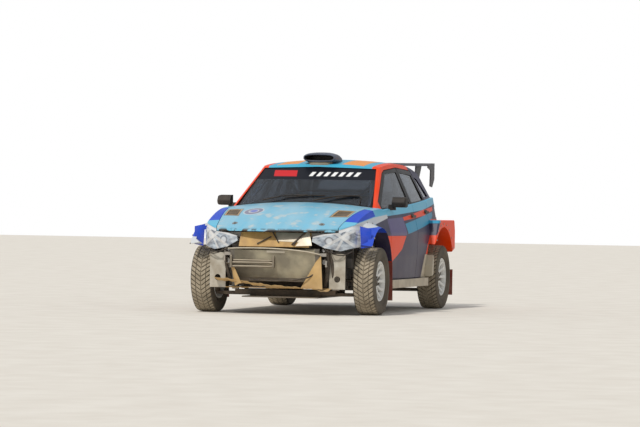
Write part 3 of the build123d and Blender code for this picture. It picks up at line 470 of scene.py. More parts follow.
# Roof blue with an amber oblong on each side of the scoop.
def roofPaint():
    finish = Finish("paint_roof", 0.34, 0.0, 0.08, specular=paintLook["specular"])
    oblong = finish.inside([(0.24, 0.225), (0.24, 0.445), (-0.62, 0.445), (-0.62, 0.225)], (0, 1))
    colour = finish.mix(oblong, hues["roofSky"], hues["amber"])
    finish.bump(finish.noise(30.0, 3.0), 0.05, 0.002)
    return finish.done(finish.dusted(colour, 0.25, 1.2, 1.7, 8.0, 0.3))


# Slate low down, sky blue to the window, an orange band between them and black round the glass.
def tailgatePaint():
    finish = Finish("paint_tailgate", 0.34, 0.0, 0.35)
    colour = finish.mix(finish.ramp(finish.z, 0.955, 0.960), hues["slate"], hues["sky"])
    band = finish.inside([(0.0, 0.90), (0.80, 0.955), (0.80, 1.02), (0.0, 0.955)], (1, 2))
    colour = finish.mix(band, colour, hues["orange"])
    colour = finish.mix(finish.ramp(finish.z, 1.132, 1.136), colour, hues["black"])
    finish.bump(finish.noise(26.0, 3.0), 0.05, 0.002)
    return finish.done(finish.dusted(colour, 0.7, 0.3, 1.3, 6.0, 0.34))


paintAll(["bonnet"], bonnetPaint())
paintAll(["roof_panel"], roofPaint())
paintAll(["tailgate"], tailgatePaint())
print("paint done")

# Glass
screen = {
    "stripLow": 1.292, "barsPerMetre": 13.5, "barSlant": -0.55, "barLow": 1.328, "barHigh": 1.372,
    "barRight": -0.06, "barLeft": 0.46,
    "block": [(0.185, 1.325), (0.43, 1.325), (0.445, 1.385), (0.20, 1.385)],
    "clear": [(-0.660, 1.030), (0.660, 1.030), (0.545, 1.60), (-0.545, 1.60)],
}


# Clear tinted glass with a dusty film. Each band is a function giving a mask and its opaque colour.
def glass(name, tint, roughness=0.02, bands=()):
    finish = Finish(name, roughness)
    finish.drive(1.45, "IOR")
    solid = finish.times(finish.blotches(5.0, 6.0, 0.45, 0.85), 0.08)
    colour = finish.mix(solid, tint, dust["colour"])
    for mask, hue in [band(finish) for band in bands]:
        colour = finish.mix(mask, colour, hue)
        solid = finish.calc("MAXIMUM", solid, mask)
    finish.drive(finish.minus(1.0, solid), "Transmission Weight")
    finish.drive(finish.scaled(solid, 0.35, roughness), "Roughness")
    return finish.done(colour)


# Dark above one height.
def sunStrip(finish):
    return finish.ramp(finish.z, screen["stripLow"], screen["stripLow"] + 0.003), tone(7, 10, 24)


# An outline that is mirrored, kept on the right half alone.
def redBlock(finish):
    rightHalf = finish.ramp(finish.y, -0.175, -0.178)
    return finish.lower(finish.inside(screen["block"], (1, 2)), rightHalf), tone(200, 34, 40)


# Slanted bars: the fraction of a skewed y, cut off at four edges.
def whiteBars(finish):
    skewed = finish.scaled(finish.z, screen["barSlant"], finish.y)
    slant = finish.calc("FRACT", finish.times(skewed, screen["barsPerMetre"]))
    bar = finish.lower(finish.ramp(slant, 0.30, 0.33), finish.ramp(slant, 0.86, 0.83))
    low, high, right, left = (screen[key] for key in ("barLow", "barHigh", "barRight", "barLeft"))
    tall = finish.lower(finish.ramp(finish.z, low, low + 0.002), finish.ramp(finish.z, high, high - 0.002))
    wide = finish.lower(finish.ramp(finish.y, right, right + 0.002),
                        finish.ramp(finish.y, left, left - 0.002))
    return finish.lower(finish.lower(bar, tall), wide), tone(235, 235, 235)


# Black outside the clear middle.
def screenEdge(finish):
    return finish.minus(1.0, finish.inside(screen["clear"], (1, 2), 0.006)), hues["black"]


screenBands = (sunStrip, redBlock, whiteBars, screenEdge)
paintAll(["windscreen"], glass("glass_windscreen", tone(120, 132, 148), 0.02, screenBands))
paintAll(["window_front_left", "window_front_right", "window_rear_left", "window_rear_right",
          "quarter_windows", "tailgate_window"], glass("glass_windows", tone(120, 128, 138), 0.03))

lamp = {
    "bowls": [(0.520, 0.705, 0.044), (0.665, 0.748, 0.052), (0.765, 0.790, 0.036)],  # y, z, radius
    "tapes": [(0.62, 0.352, 0.017), (-0.75, 1.215, 0.020), (0.05, 0.790, 0.012), (1.9, -0.49, 0.024)],
    "brow": [(0.36, 0.735), (0.48, 0.752), (0.62, 0.784), (0.85, 0.868), (0.85, 0.90), (0.36, 0.90)],
    "under": [(0.36, 0.700), (0.48, 0.652), (0.64, 0.632), (0.85, 0.735), (0.85, 0.55), (0.36, 0.55)],
}


# Clear lamp cover with bowls painted bright as a painted reflection, crossed by pale strips: a line z = slope
# y + offset, and a width.
def lampLens():
    finish = Finish("lens_headlamps", 0.10, 0.0, 0.7, 0.04)
    cloudy = finish.blotches(9.0, 4.0, 0.36, 0.62, (1.0, 1.6, 3.2))
    colour = finish.mix(cloudy, tone(112, 128, 148), tone(196, 210, 222))
    # Each bowl is a painted reflection: a darker ring round a bright middle.
    for y, z, radius in lamp["bowls"]:
        away = finish.length(finish.minus(finish.sideways, y), finish.minus(finish.z, z))
        colour = finish.mix(finish.ramp(away, radius, radius - 0.006), colour, tone(104, 116, 132))
        colour = finish.mix(finish.ramp(away, radius * 0.8, radius * 0.5), colour, tone(206, 214, 222))
    for slope, offset, width in lamp["tapes"]:
        line = finish.gap(finish.scaled(finish.sideways, slope, offset), finish.z)
        tape = finish.times(finish.ramp(line, width, width - 0.003), 0.62)
        colour = finish.mix(tape, colour, tone(232, 234, 234))
    brow = finish.inside(lamp["brow"], (1, 2))
    colour = finish.mix(finish.times(brow, 0.8), colour, tone(228, 230, 232))
    colour = finish.mix(finish.inside(lamp["under"], (1, 2)), colour, tone(20, 20, 22))
    finish.bump(finish.wave(finish.sideways, 420.0), 0.25, 0.001)
    return finish.done(finish.dusted(colour, 0.5, 0.55, 1.0, 12.0, 0.12))


# Red with a pale band and fine level ribs.
def tailLens():
    finish = Finish("lens_tail", 0.1, 0.0, 0.5, 0.05)
    band = finish.lower(finish.ramp(finish.z, 0.965, 0.967), finish.ramp(finish.z, 0.992, 0.990))
    colour = finish.mix(band, tone(170, 16, 14), tone(224, 224, 220))
    finish.bump(finish.wave(finish.z, 1400.0), 0.3, 0.001)
    return finish.done(finish.dusted(colour, 0.5, 0.5, 1.2, 12.0, 0.1))


paintAll(["headlamps"], lampLens())
paintAll(["tail_lamps"], tailLens())
print("glass done")

# Finishes of the other carried-over nodes, and the ones that new pieces share
blackPlastic = plain("plastic_black", tone(30, 30, 32), 0.6, dirt=0.45, highZ=1.3)
dustyMetal = plain("metal_running_gear", tone(92, 88, 82), 0.55, 0.8, dirt=0.85, lowZ=0.1, highZ=0.9)
shellMetal = plain("metal_shell", tone(176, 174, 168), 0.5, 0.1, dirt=0.85)
guardMetal = plain("metal_guard", tone(150, 146, 138), 0.45, 0.9, dirt=0.8, lowZ=0.1, highZ=0.6)
engineMetal = plain("metal_engine", tone(70, 68, 66), 0.6, 0.6, dirt=0.6, highZ=1.0)
exhaustMetal = plain("metal_exhaust", tone(150, 132, 112), 0.35, 1.0, dirt=0.3, lowZ=0.1, highZ=0.5)
cagePaint = plain("paint_cage", tone(196, 200, 206), 0.35, dirt=0.15, highZ=1.0)
skirtPlastic = plain("plastic_skirt", tone(206, 196, 176), 0.65, dirt=0.7, highZ=0.6)
wingPaint = plain("paint_wing", tone(44, 46, 58), 0.35, dirt=0.3, lowZ=1.0, highZ=1.7)
redFlap = plain("rubber_flap_red", tone(140, 22, 16), 0.7, dirt=0.7, lowZ=0.1, highZ=0.7)
tanSheet = plain("sheet_tan", tone(206, 170, 112), 0.62, dirt=0.45, lowZ=0.1, highZ=1.0, grain=34.0,
                 strength=0.25)
fastener = plain("metal_fasteners", tone(182, 180, 176), 0.3, 0.9, dirt=0.35, highZ=1.2)

ducting = {"panelY": 0.508, "trayZ": 0.262, "trayX": 1.7395}


# Tan shrouds, pale panels beside them, and painted shade darkening the lower tray's underside behind its lip.
def ductingSheet():
    finish = Finish("sheet_ducting", 0.6)
    tan = finish.mottled(tone(198, 160, 98), tone(172, 136, 84), 14.0, 5.0, 0.35)
    pale = finish.mottled(tone(196, 192, 180), tone(158, 150, 134), 10.0, 6.0, 0.35)
    colour = finish.mix(finish.ramp(finish.sideways, ducting["panelY"], ducting["panelY"] + 0.003), tan, pale)
    # Painted shade under the tray, behind its lip: the same tan, made darker.
    low = finish.ramp(finish.z, ducting["trayZ"], ducting["trayZ"] - 0.002)
    behind = finish.ramp(finish.x, ducting["trayX"], ducting["trayX"] - 0.0005)
    colour = finish.mix(finish.times(low, behind), colour, tone(112, 92, 66))
    finish.bump(finish.noise(24.0, 6.0), 0.35, 0.002)
    return finish.done(finish.dusted(colour, 0.35, 0.1, 1.0))


radiator = {"finsPerMetre": 1500.0, "tubesPerMetre": 620.0, "tankY": 0.395, "tankZ": 0.352, "shade": 0.55}


# Fins are fine upright waves between flat tubes, grey-tan with road dust, and a right half darkened by
# painted shade.
def radiatorCore():
    finish = Finish("metal_radiator", 0.6, 0.3)
    fins = finish.wave(finish.y, radiator["finsPerMetre"])
    tubes = finish.wave(finish.z, radiator["tubesPerMetre"])
    finish.bump(finish.plus(fins, tubes), 0.5, 0.002)
    colour = finish.mix(finish.ramp(tubes, -0.2, 0.6), tone(128, 122, 106), tone(176, 170, 152))
    colour = finish.mix(finish.blotches(6.0, 5.0, 0.4, 0.7), colour, tone(202, 194, 168))
    # Painted shade over the right half, deepest towards its outer end.
    rightHalf = finish.ramp(finish.y, 0.0, -0.01)
    shaded = finish.times(finish.ramp(finish.y, -0.18, -0.30), radiator["shade"])
    colour = finish.mix(finish.times(rightHalf, shaded), colour, tone(58, 54, 48))
    lowTank = finish.ramp(finish.z, radiator["tankZ"], radiator["tankZ"] - 0.004)
    tank = finish.calc("ADD", finish.past((0, 1, 0), radiator["tankY"]), lowTank, clamp=True)
    colour = finish.mix(tank, colour, tone(120, 116, 108))
    return finish.done(finish.dusted(colour, 0.35, 0.2, 0.9, 9.0, 0.6))


for names, material in (
        (["scuttle", "dashboard", "steering_wheel", "mirror_left", "mirror_right"], blackPlastic),
        (["front_axle", "rear_axle", "knuckle_front_left", "knuckle_front_right"], dustyMetal),
        (["floor_pan", "front_structure"], shellMetal), (["sump_guard"], guardMetal),
        (["engine"], engineMetal), (["exhaust"], exhaustMetal), (["roll_cage"], cagePaint),
        (["side_skirts"], skirtPlastic), (["rear_wing"], wingPaint), (["mudflaps"], redFlap),
        (["front_ducting"], ductingSheet()), (["radiator"], radiatorCore())):
    paintAll(names, material)
print("other finishes done")

# Wheels: tyres with block tread, rims with spokes and a hub, nuts. The wall is (radius, past the shoulder);
# the spoke's section is in shares of its half width and its depth.
wheel = {
    "around": 598, "pitches": 46, "tread": 0.324, "groove": 0.3165, "shoulder": 0.104,
    "crownRows": 41, "crownEdge": 0.012, "crownDrop": 0.0045, "slant": 1.7, "slantGroove": 0.24,
    "ringPlace": 0.50, "ringHalf": 0.026, "middleHalf": 0.028, "sinkFrom": 0.300, "sinkOver": 0.02,
    "wall": [(0.314, -0.004), (0.304, 0.0), (0.290, 0.0015), (0.268, 0.003), (0.248, 0.002),
             (0.247, 0.0035), (0.236, 0.0035), (0.235, 0.001), (0.222, -0.004), (0.208, -0.011),
             (0.200, -0.013), (0.196, -0.020), (0.1935, -0.028)],
    "rimRadius": 0.1925, "face": 0.074, "spokes": 12, "spokeFoot": 0.048, "spokeEnd": 0.176,
    "spokeWidth": 0.0135, "spokeDepth": 0.020, "spokeRows": 13,
    "spokeSection": [(-1, -1), (-1, -0.15), (-0.72, 0.22), (-0.3, 0.30), (0.3, 0.30), (0.72, 0.22),
                     (1, -0.15), (1, -1)],
    "nuts": 5, "nutCircle": 0.038, "nutRadius": 0.0105, "nutHeight": 0.022,
}


# A tyre in coordinates about its axle, y outward. Radius and y follow a rounded section; the tread sinks to
# its grooves where a slanted wave, a ring on each side or the middle band is low.
def tyreShape():
    half, tread = wheel["shoulder"], wheel["tread"]
    crown = np.linspace(-1, 1, wheel["crownRows"])
    crownRadius = tread - wheel["crownDrop"] * np.abs(crown) ** 3
    crownLine = np.stack([crownRadius, crown * (half - wheel["crownEdge"])], axis=-1)
    wall = np.array(wheel["wall"]) + (0, half)
    profile = np.concatenate([wall[::-1] * (1, -1), crownLine, wall])
    a, r = np.meshgrid(turns(wheel["around"]), profile[:, 0], indexing="ij")
    y = np.broadcast_to(profile[:, 1], a.shape)
    across = np.abs(y / half)
    slant = (a / (2 * pi) * wheel["pitches"] + across * wheel["slant"]) % 1.0
    slanted = (slant < wheel["slantGroove"]) & (across > 0.05)
    ring = np.abs(across - wheel["ringPlace"]) < wheel["ringHalf"]
    middle = across < wheel["middleHalf"]
    onTread = (r > tread - 0.026) & (across < 0.995)
    depth = np.clip((r - wheel["sinkFrom"]) / wheel["sinkOver"], 0, 1) * (tread - wheel["groove"])
    r = r - np.where((slanted | ring | middle) & onTread, depth, 0.0)
    points = np.stack([r * np.sin(a), y, r * np.cos(a)], axis=-1)
    return points.reshape(-1, 3), gridFaces(wheel["around"], len(profile), True, True)


# Each spoke is one section carried from the hub to the rim; its width and its dish follow powers of the way.
def spokeShape(turn):
    section, way = np.array(wheel["spokeSection"]), np.linspace(0, 1, wheel["spokeRows"])
    reach = wheel["spokeFoot"] + (wheel["spokeEnd"] - wheel["spokeFoot"]) * way
    width = wheel["spokeWidth"] + 0.010 * (1 - way) ** 2 + 0.007 * way**3
    front = wheel["face"] - 0.030 - 0.008 * np.sin(pi * way) + 0.028 * way**2
    depth = wheel["spokeDepth"] + 0.010 * (1 - way)
    across = section[:, 0][None, :] * width[:, None] * 0.95
    along = front[:, None] + section[:, 1][None, :] * depth[:, None]
    out = np.broadcast_to(reach[:, None], across.shape)
    x, z = out * sin(turn) + across * cos(turn), out * cos(turn) - across * sin(turn)
    ring = np.stack([x, along, z], axis=-1)
    ends = [np.broadcast_to(end.mean(axis=1, keepdims=True), end.shape) for end in (ring[:1], ring[-1:])]
    ring = np.concatenate([ends[0], ring, ends[1]])
    return ring.reshape(-1, 3), gridFaces(len(ring), len(section), False, True)


# The barrel runs from its outer lip through to the inner one and back; the hub is a low stepped disc.
def rimShape():
    face, radius = wheel["face"], wheel["rimRadius"]
    barrel = np.array([
        (radius, face + 0.010), (radius - 0.004, face + 0.014), (radius - 0.010, face + 0.014),
        (radius - 0.013, face + 0.010), (radius - 0.016, face - 0.004), (radius - 0.020, face - 0.012),
        (radius - 0.022, face - 0.05), (radius - 0.020, -0.088), (radius - 0.004, -0.098),
        (radius, -0.098), (radius, -0.090), (radius - 0.012, -0.078), (radius - 0.016, face - 0.05),
        (radius - 0.012, face - 0.010), (radius - 0.003, face + 0.004)])
    middle = face - 0.030
    hub = np.array([
        (0.0, middle + 0.002), (0.026, middle + 0.002), (0.030, middle - 0.003), (0.052, middle - 0.004),
        (0.060, middle - 0.010), (0.062, middle - 0.034), (0.0, middle - 0.034)])
    spokes = [spokeShape(turn) for turn in turns(wheel["spokes"])]
    return joined([revolved(barrel[::-1], 144)] + spokes + [revolved(hub[::-1], 64, False)])


# The wheel's nuts on their circle, and a stepped cap over the axle's end.
def nutShape():
    face = wheel["face"] - 0.034
    circle = wheel["nutCircle"]
    spots = [(circle * sin(turn), face, circle * cos(turn)) for turn in turns(wheel["nuts"])]
    nuts = bolts(spots, wheel["nutRadius"], wheel["nutHeight"], (0, 1, 0))
    cap = np.array([(0.0, face + 0.020), (0.017, face + 0.018), (0.021, face + 0.010), (0.021, face - 0.004),
                    (0.0, face - 0.004)])
    return joined([nuts, revolved(cap[::-1], 40, False)])


# Dusty rubber; the blocks are paler than the grooves between them, found by their distance from the axle.
def tyreRubber():
    finish = Finish("rubber_tyres", 0.85)
    away = finish.length(finish.minus(finish.calc("ABSOLUTE", finish.x), car["axleX"]),
                         finish.minus(finish.z, car["tyreRadius"]))
    colour = finish.mottled(tone(96, 90, 78), tone(66, 62, 55), 5.0, 6.0, 0.35, 0.65)
    onTread = finish.ramp(finish.gap(finish.sideways, car["wheelY"]), 0.100, 0.095)
    blocks = finish.lower(finish.ramp(away, wheel["groove"], wheel["groove"] + 0.004), onTread)
    blockTone = finish.mottled(tone(172, 161, 140), tone(142, 131, 112), 9.0, 5.0, 0.35)
    colour = finish.mix(blocks, colour, blockTone)
    finish.bump(finish.noise(220.0, 3.0), 0.25, 0.001)
    return finish.done(finish.dusted(colour, 0.3, 0.0, 1.2, 10.0))


rimPaint = plain("paint_rims", tone(246, 246, 242), 0.38, dirt=0.2, lowZ=0.0, highZ=0.9, grain=90.0,
                 strength=0.05)
nutMetal = plain("metal_nuts", tone(118, 112, 104), 0.4, 0.9, dirt=0.3, lowZ=0.0, highZ=0.9)
wheelKinds = [
    ("tyre", tyreShape(), tyreRubber(), "tyre_rubber"),
    ("rim", rimShape(), rimPaint, "wheel_paint"),
    ("nuts", nutShape(), nutMetal, "running_gear_metal"),
]
for ahead, end in ((1, "front"), (-1, "rear")):
    for side, name in bothSides:
        corner, body = f"{end}_{name}", f"wheel_{end[0]}{name[0]}"
        centre = np.array([ahead * car["axleX"], side * car["wheelY"], car["tyreRadius"]])
        for kind, shape, material, slotName in wheelKinds:
            standing = (shape[0] * (1, side, 1) + centre, flipped(shape[1], side))
            piece = place(f"{kind}_detail_{corner}", standing, material, body, slotName)
            if kind != "nuts":
                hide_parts(f"{kind}_{corner}")
print("wheels done")

# Places on the part's own surfaces, found by a ray in the shared frame
surfaceTrees = {}


# The first place that a ray meets on a node, or the nearest one where it passes by, and the normal there.
def onSurface(name, origin, direction, lift=0.0):
    if name not in surfaceTrees:
        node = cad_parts[name]
        corners = [node.matrix_world @ vertex.co for vertex in node.data.vertices]
        faces = [list(face.vertices) for face in node.data.polygons]
        surfaceTrees[name] = BVHTree.FromPolygons(corners, faces)
    spot, normal = surfaceTrees[name].ray_cast(Vector(origin), Vector(direction))[:2]
    if spot is None:
        print("no surface of", name, "from", list(origin))
        spot, normal = surfaceTrees[name].find_nearest(Vector(origin))[:2]
    return np.array(spot + normal * lift), np.array(normal)


# Bucket seats: one curved shell each, with pads sewn on it. A pad is u from and to, v from and to, thickness.
seat = {
    "middle": 0.37, "shellThickness": 0.011, "flatShare": 0.55, "curlOut": 0.032, "curlPower": 1.4,
    "lean": 1.15, "ribEvery": 0.045, "ribDepth": 0.10, "padSink": -0.002, "padFoot": 0.002,
    "line": [(0.250, 0.462), (0.120, 0.452), (-0.060, 0.432), (-0.150, 0.450), (-0.190, 0.560),
             (-0.230, 0.720), (-0.280, 0.900), (-0.310, 1.010), (-0.335, 1.118)],
    "half": [0.185, 0.190, 0.195, 0.195, 0.185, 0.190, 0.205, 0.140, 0.118],
    "wing": [0.035, 0.080, 0.110, 0.125, 0.105, 0.095, 0.110, 0.075, 0.060],
    "pads": [(0.01, 0.34, -0.50, 0.50, 0.045), (0.42, 0.66, -0.48, 0.48, 0.034),
             (0.67, 0.84, -0.50, 0.50, 0.030), (0.88, 0.985, -0.55, 0.55, 0.034),
             (0.05, 0.34, 0.60, 0.96, 0.026), (0.05, 0.34, -0.96, -0.60, 0.026),
             (0.46, 0.82, 0.60, 0.96, 0.028), (0.46, 0.82, -0.96, -0.60, 0.028),
             (0.88, 0.98, 0.64, 0.96, 0.024), (0.88, 0.98, -0.96, -0.64, 0.024)],
    "railSize": (0.38, 0.032, 0.10), "railZ": 0.315, "railY": (0.20, 0.54),
}
seatLine = smoothPath([(x, 0.0, z) for x, z in seat["line"]], 121)


# u runs from the pan's front edge to the head, v from side to side. The middle is flat and each side curls up
# as a wing whose height and the shell's half-width follow the two lists.
def onSeat(u, v, lift):
    along = np.linspace(0, 1, len(seatLine))
    x, z = np.interp(u, along, seatLine[:, 0]), np.interp(u, along, seatLine[:, 2])
    runX = np.interp(u, along, np.gradient(seatLine[:, 0]))
    runZ = np.interp(u, along, np.gradient(seatLine[:, 2]))
    length = np.hypot(runX, runZ)
    normalX, normalZ = runZ / length, -runX / length
    knots = np.linspace(0, 1, len(seat["half"]))
    half, wing = np.interp(u, knots, seat["half"]), np.interp(u, knots, seat["wing"])
    flat = seat["flatShare"]
    curl = np.clip((np.abs(v) - flat) / (1 - flat), 0, 1)
    out = np.where(np.abs(v) < flat, half * np.abs(v) / flat, half + seat["curlOut"] * np.sin(curl * pi / 2))
    lean = curl * seat["lean"]
    up = wing * curl ** seat["curlPower"] + lift * np.cos(lean)
    y = np.sign(v) * (out - lift * np.sin(lean))
    return np.stack([x + normalX * up, seat["middle"] + y, z + normalZ * up], axis=-1)


# The whole of u and v, with a back a shell's thickness behind the front.
def seatShell():
    u, v = np.meshgrid(np.linspace(0, 1, 90), np.linspace(-1, 1, 49), indexing="ij")
    return closedPatch(onSeat(u, v, 0.0), onSeat(u, v, -seat["shellThickness"]))


# A pad swells to a rounded edge and carries stitched ribs: a cosine along it, faded out at its borders.
def seatPad(u0, u1, v0, v1, thickness):
    a, b = np.meshgrid(np.linspace(-1, 1, 41), np.linspace(-1, 1, 33), indexing="ij")
    u, v = (u0 + u1) / 2 + (u1 - u0) / 2 * a, (v0 + v1) / 2 + (v1 - v0) / 2 * b
    swell = (1 - np.abs(a) ** 6) ** 0.5 * (1 - np.abs(b) ** 6) ** 0.5
    rib = 0.5 + 0.5 * np.cos((u - u0) * 2 * pi / seat["ribEvery"])
    ribs = 1 - seat["ribDepth"] * rib * (np.abs(b) < 0.7) * (np.abs(a) < 0.9)
    top = onSeat(u, v, seat["padFoot"] + thickness * swell * ribs)
    return closedPatch(top, onSeat(u, v, seat["padSink"]))


# Dark cloth whose weave is two crossed waves.
def seatCloth():
    finish = Finish("cloth_seat_pads", 0.9)
    finish.bump(finish.times(finish.wave(finish.z, 2600.0), finish.wave(finish.y, 2600.0)), 0.4, 0.0008)
    colour = finish.mottled(tone(24, 24, 28), tone(42, 42, 48), 8.0)
    return finish.done(finish.dusted(colour, 0.3, 0.4, 1.3))


shellFinish = plain("composite_seat_shell", tone(24, 25, 28), 0.35, dirt=0.25, lowZ=0.3, highZ=1.2,
                    grain=300.0, strength=0.1)
padCloth = seatCloth()
seatRails = [softBox((0.0, y, seat["railZ"]), seat["railSize"], 0.15) for y in seat["railY"]]
shellPoints, shellFaces = joined([seatShell()] + seatRails)
padPoints, padFaces = joined([seatPad(*pad) for pad in seat["pads"]])
for side, name in bothSides:
    mirror = np.array([1.0, side, 1.0])
    shell = place(f"seat_shell_{name}", (shellPoints * mirror, flipped(shellFaces, side)), shellFinish,
                  "body", "seat_fabric")
    pads = place(f"seat_pads_{name}", (padPoints * mirror, flipped(padFaces, -side)), padCloth, "body",
                 "seat_fabric", turn=False)
    if side > 0:
        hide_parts("seats")
print("seats done")

# Bonnet vents, pins and wipers
vent = {"corners": [(1.521, 0.469), (1.471, 0.601), (1.269, 0.619), (1.309, 0.489)], "lookOut": 1.06,
        "sink": 0.007, "thickness": 0.003, "holes": 520.0}
pin = {"x": 1.735, "y": 0.43, "disc": (0.030, 0.003), "clip": (0.010, 0.012)}  # radius, height
wiper = {"arms": [(-0.42, 0.02), (0.12, 0.52)], "baseZ": 1.072, "middleZ": 1.120, "tipZ": 1.130,
         "radius": 0.006, "blade": [(-0.22, -0.022), (0, 0), (0.17, 0.002)], "bladeRadius": 0.0055}


# Holes painted dark where two crossed waves run low: painted shade for the dark inside seen through them.
def ventMesh():
    finish = Finish("mesh_vents", 0.6, 0.2)
    holes = finish.times(finish.wave(finish.x, vent["holes"]), finish.wave(finish.y, vent["holes"]))
    # Painted shade in the holes, on a plate that has none.
    colour = finish.mix(finish.ramp(holes, -0.15, 0.15), tone(24, 20, 18), tone(126, 108, 84))
    return finish.done(finish.dusted(colour, 0.6, 0.7, 1.2, 14.0))


# The bonnet's top under a place, and the screen's outside in front of one.
def onBonnet(x, y):
    return onSurface("bonnet", (x, y, 2.0), (0, 0, -1))


def onScreen(y, z, lift=0.012):
    return onSurface("windscreen", (3.0, y, z), (-1, 0, 0), lift)[0]


ventFinish = ventMesh()
for side, name in bothSides:
    middle = np.mean(vent["corners"], axis=0)
    corners = []
    for corner in vent["corners"]:
        outside = middle + (np.array(corner) - middle) * vent["lookOut"]
        surface = onBonnet(outside[0], side * outside[1])[0]
        corners.append((corner[0], side * corner[1], surface[2] - vent["sink"]))
    place(f"vent_mesh_{name}", plate(corners[::-side], vent["thickness"]), ventFinish, "bonnet",
          "bodywork_blue", False)
    spot, normal = onBonnet(pin["x"], side * pin["y"])
    disc = bolts([spot - normal * 0.001], *pin["disc"], normal)
    clip = bolts([spot + normal * 0.001], *pin["clip"], normal)
    place(f"bonnet_pin_{name}", joined([disc, clip]), fastener, "bonnet", "running_gear_metal", False)

wiperParts = []
for baseY, tipY in wiper["arms"]:
    start, tip = onScreen(baseY, wiper["baseZ"]), onScreen(tipY, wiper["tipZ"])
    middle = onScreen((baseY + tipY) / 2, wiper["middleZ"])
    arm = smoothPath([start + (0.02, 0, 0.006), middle + (0.008, 0, 0.004), tip], 20)
    blade = [onScreen(tipY + shift, wiper["tipZ"] + rise, 0.008) for shift, rise in wiper["blade"]]
    wiperParts += [tube(arm, wiper["radius"]), tube(smoothPath(blade, 16), wiper["bladeRadius"])]
place("wipers", joined(wiperParts), blackPlastic, "body", "dark_plastic")

# Handles, mirror glass and flare bolts
handle = {"places": [("front", -0.235, 0.945), ("rear", -0.930, 0.985)], "proud": 0.014,
          "grip": (0.155, 0.018, 0.026), "cup": (0.125, 0.008, 0.056)}
mirrorGlass = {"place": (0.489, 0.893, 1.084), "size": (0.006, 0.118, 0.084)}
flareBolt = {"radius": 0.008, "height": 0.006, "count": 8, "centreZ": 0.394,
             "arcs": [("fender", car["axleX"], 0.492, 35, 150), ("body_side", -car["axleX"], 0.475, 42, 152)]}
handleFinish = plain("plastic_handles", tone(34, 34, 38), 0.45, dirt=0.4, lowZ=0.5, highZ=1.2)
mirrorFinish = Finish("glass_mirrors", 0.06, 1.0)
mirrorShade = mirrorFinish.done(mirrorFinish.dusted((0.62, 0.68, 0.74, 1.0), 0.25, 0.9, 1.2, 12.0))
for side, name in bothSides:
    inward = (0, -side, 0)
    for where, x, z in handle["places"]:
        spot = onSurface(f"door_{where}_{name}", (x, side * 1.5, z), inward)[0]
        grip = softBox(spot + (0, side * handle["proud"], 0), handle["grip"], 0.4)
        cup = softBox(spot, handle["cup"], 0.7)
        place(f"handle_{where}_{name}", joined([grip, cup]), handleFinish, f"door_{where[0]}{name[0]}",
              "dark_plastic")
    glassPanel = softBox(mirrorGlass["place"] * np.array([1, side, 1]), mirrorGlass["size"], 0.35)
    place(f"mirror_glass_{name}", glassPanel, mirrorShade, "door_f" + name[0], "window_glass")
    boltParts = []
    for node, x, radius, first, last in flareBolt["arcs"]:
        for angle in np.radians(np.linspace(first, last, flareBolt["count"])):
            origin = (x + radius * cos(angle), side * 1.5, flareBolt["centreZ"] + radius * sin(angle))
            spot, normal = onSurface(f"{node}_{name}", origin, inward)
            boltParts.append(bolts([spot], flareBolt["radius"], flareBolt["height"], normal))
    place(f"flare_bolts_{name}", joined(boltParts), fastener, "body", "running_gear_metal", False)

# The panel between each headlamp and its flare, and a blank plate at the rear
fenderFill = {"thickness": 0.003, "bulge": 0.012,
              "corners": [(1.602, 0.782, 0.640), (1.588, 0.876, 0.655), (1.588, 0.876, 0.826),
                          (1.602, 0.768, 0.850)]}
rearPlate = {"z": 0.520, "size": (0.010, 0.52, 0.112)}
fillPaint = plain("paint_fender_fill", hues["royal"], 0.35, dirt=0.4, lowZ=0.3, highZ=1.0, grain=26.0,
                  strength=0.05)
for side, name in bothSides:
    corners = np.array(fenderFill["corners"])[::side] * (1, side, 1)
    sheet = plate(corners, fenderFill["thickness"], 12, 12, fenderFill["bulge"])
    place(f"fender_fill_{name}", sheet, fillPaint, "body", "bodywork_blue")
platePaint = plain("paint_blank_plate", tone(226, 226, 220), 0.4, lowZ=0.3, highZ=0.9)
plateSpot = onSurface("rear_bumper", (-3.0, 0.0, rearPlate["z"]), (1, 0, 0))[0]
place("rear_plate_blank", softBox(plateSpot, rearPlate["size"], 0.12), platePaint, "body", "dark_plastic")

# Scoop rings (x, half width, top, bottom): back end, outside, rounded lip, then the mouth's inside
scoop = {
    "rings": [(-0.262, 0.000, 1.470, 1.470), (-0.262, 0.080, 1.489, 1.440), (-0.180, 0.112, 1.514, 1.430),
              (-0.060, 0.146, 1.544, 1.430), (0.060, 0.163, 1.562, 1.436), (0.180, 0.1675, 1.5675, 1.452),
              (0.255, 0.166, 1.563, 1.464), (0.290, 0.162, 1.556, 1.470), (0.2985, 0.158, 1.550, 1.475),
              (0.300, 0.153, 1.544, 1.480), (0.296, 0.149, 1.539, 1.485), (0.270, 0.145, 1.534, 1.489),
              (0.130, 0.130, 1.530, 1.492), (0.130, 0.000, 1.511, 1.511)],
    "rows": 66, "around": 72, "power": 0.72, "mouthX": 0.110, "footPlace": (0.130, 0, 1.450),
    "mouth": [(-0.01, 1.486), (0.120, 1.488), (0.147, 1.500), (0.147, 1.524), (0.120, 1.537), (-0.01, 1.539)],
    "footSize": (0.320, 0.240, 0.062),
}


# One closed skin: each row is a superellipse between a top and a bottom, blended from ring to ring.
def scoopSkin():
    rings = np.array(scoop["rings"])
    way, known = np.linspace(0, 1, scoop["rows"]), np.linspace(0, 1, len(rings))
    x, half, top, bottom = (np.interp(way, known, column)[:, None] for column in rings.T)
    turn = turns(scoop["around"])
    y = half * squared(np.cos(turn), scoop["power"])
    z = (top + bottom) / 2 + (top - bottom) / 2 * squared(np.sin(turn), scoop["power"])
    points = np.stack([np.broadcast_to(x, y.shape), y, z], axis=-1)
    return points.reshape(-1, 3), gridFaces(scoop["rows"], scoop["around"], False, True)
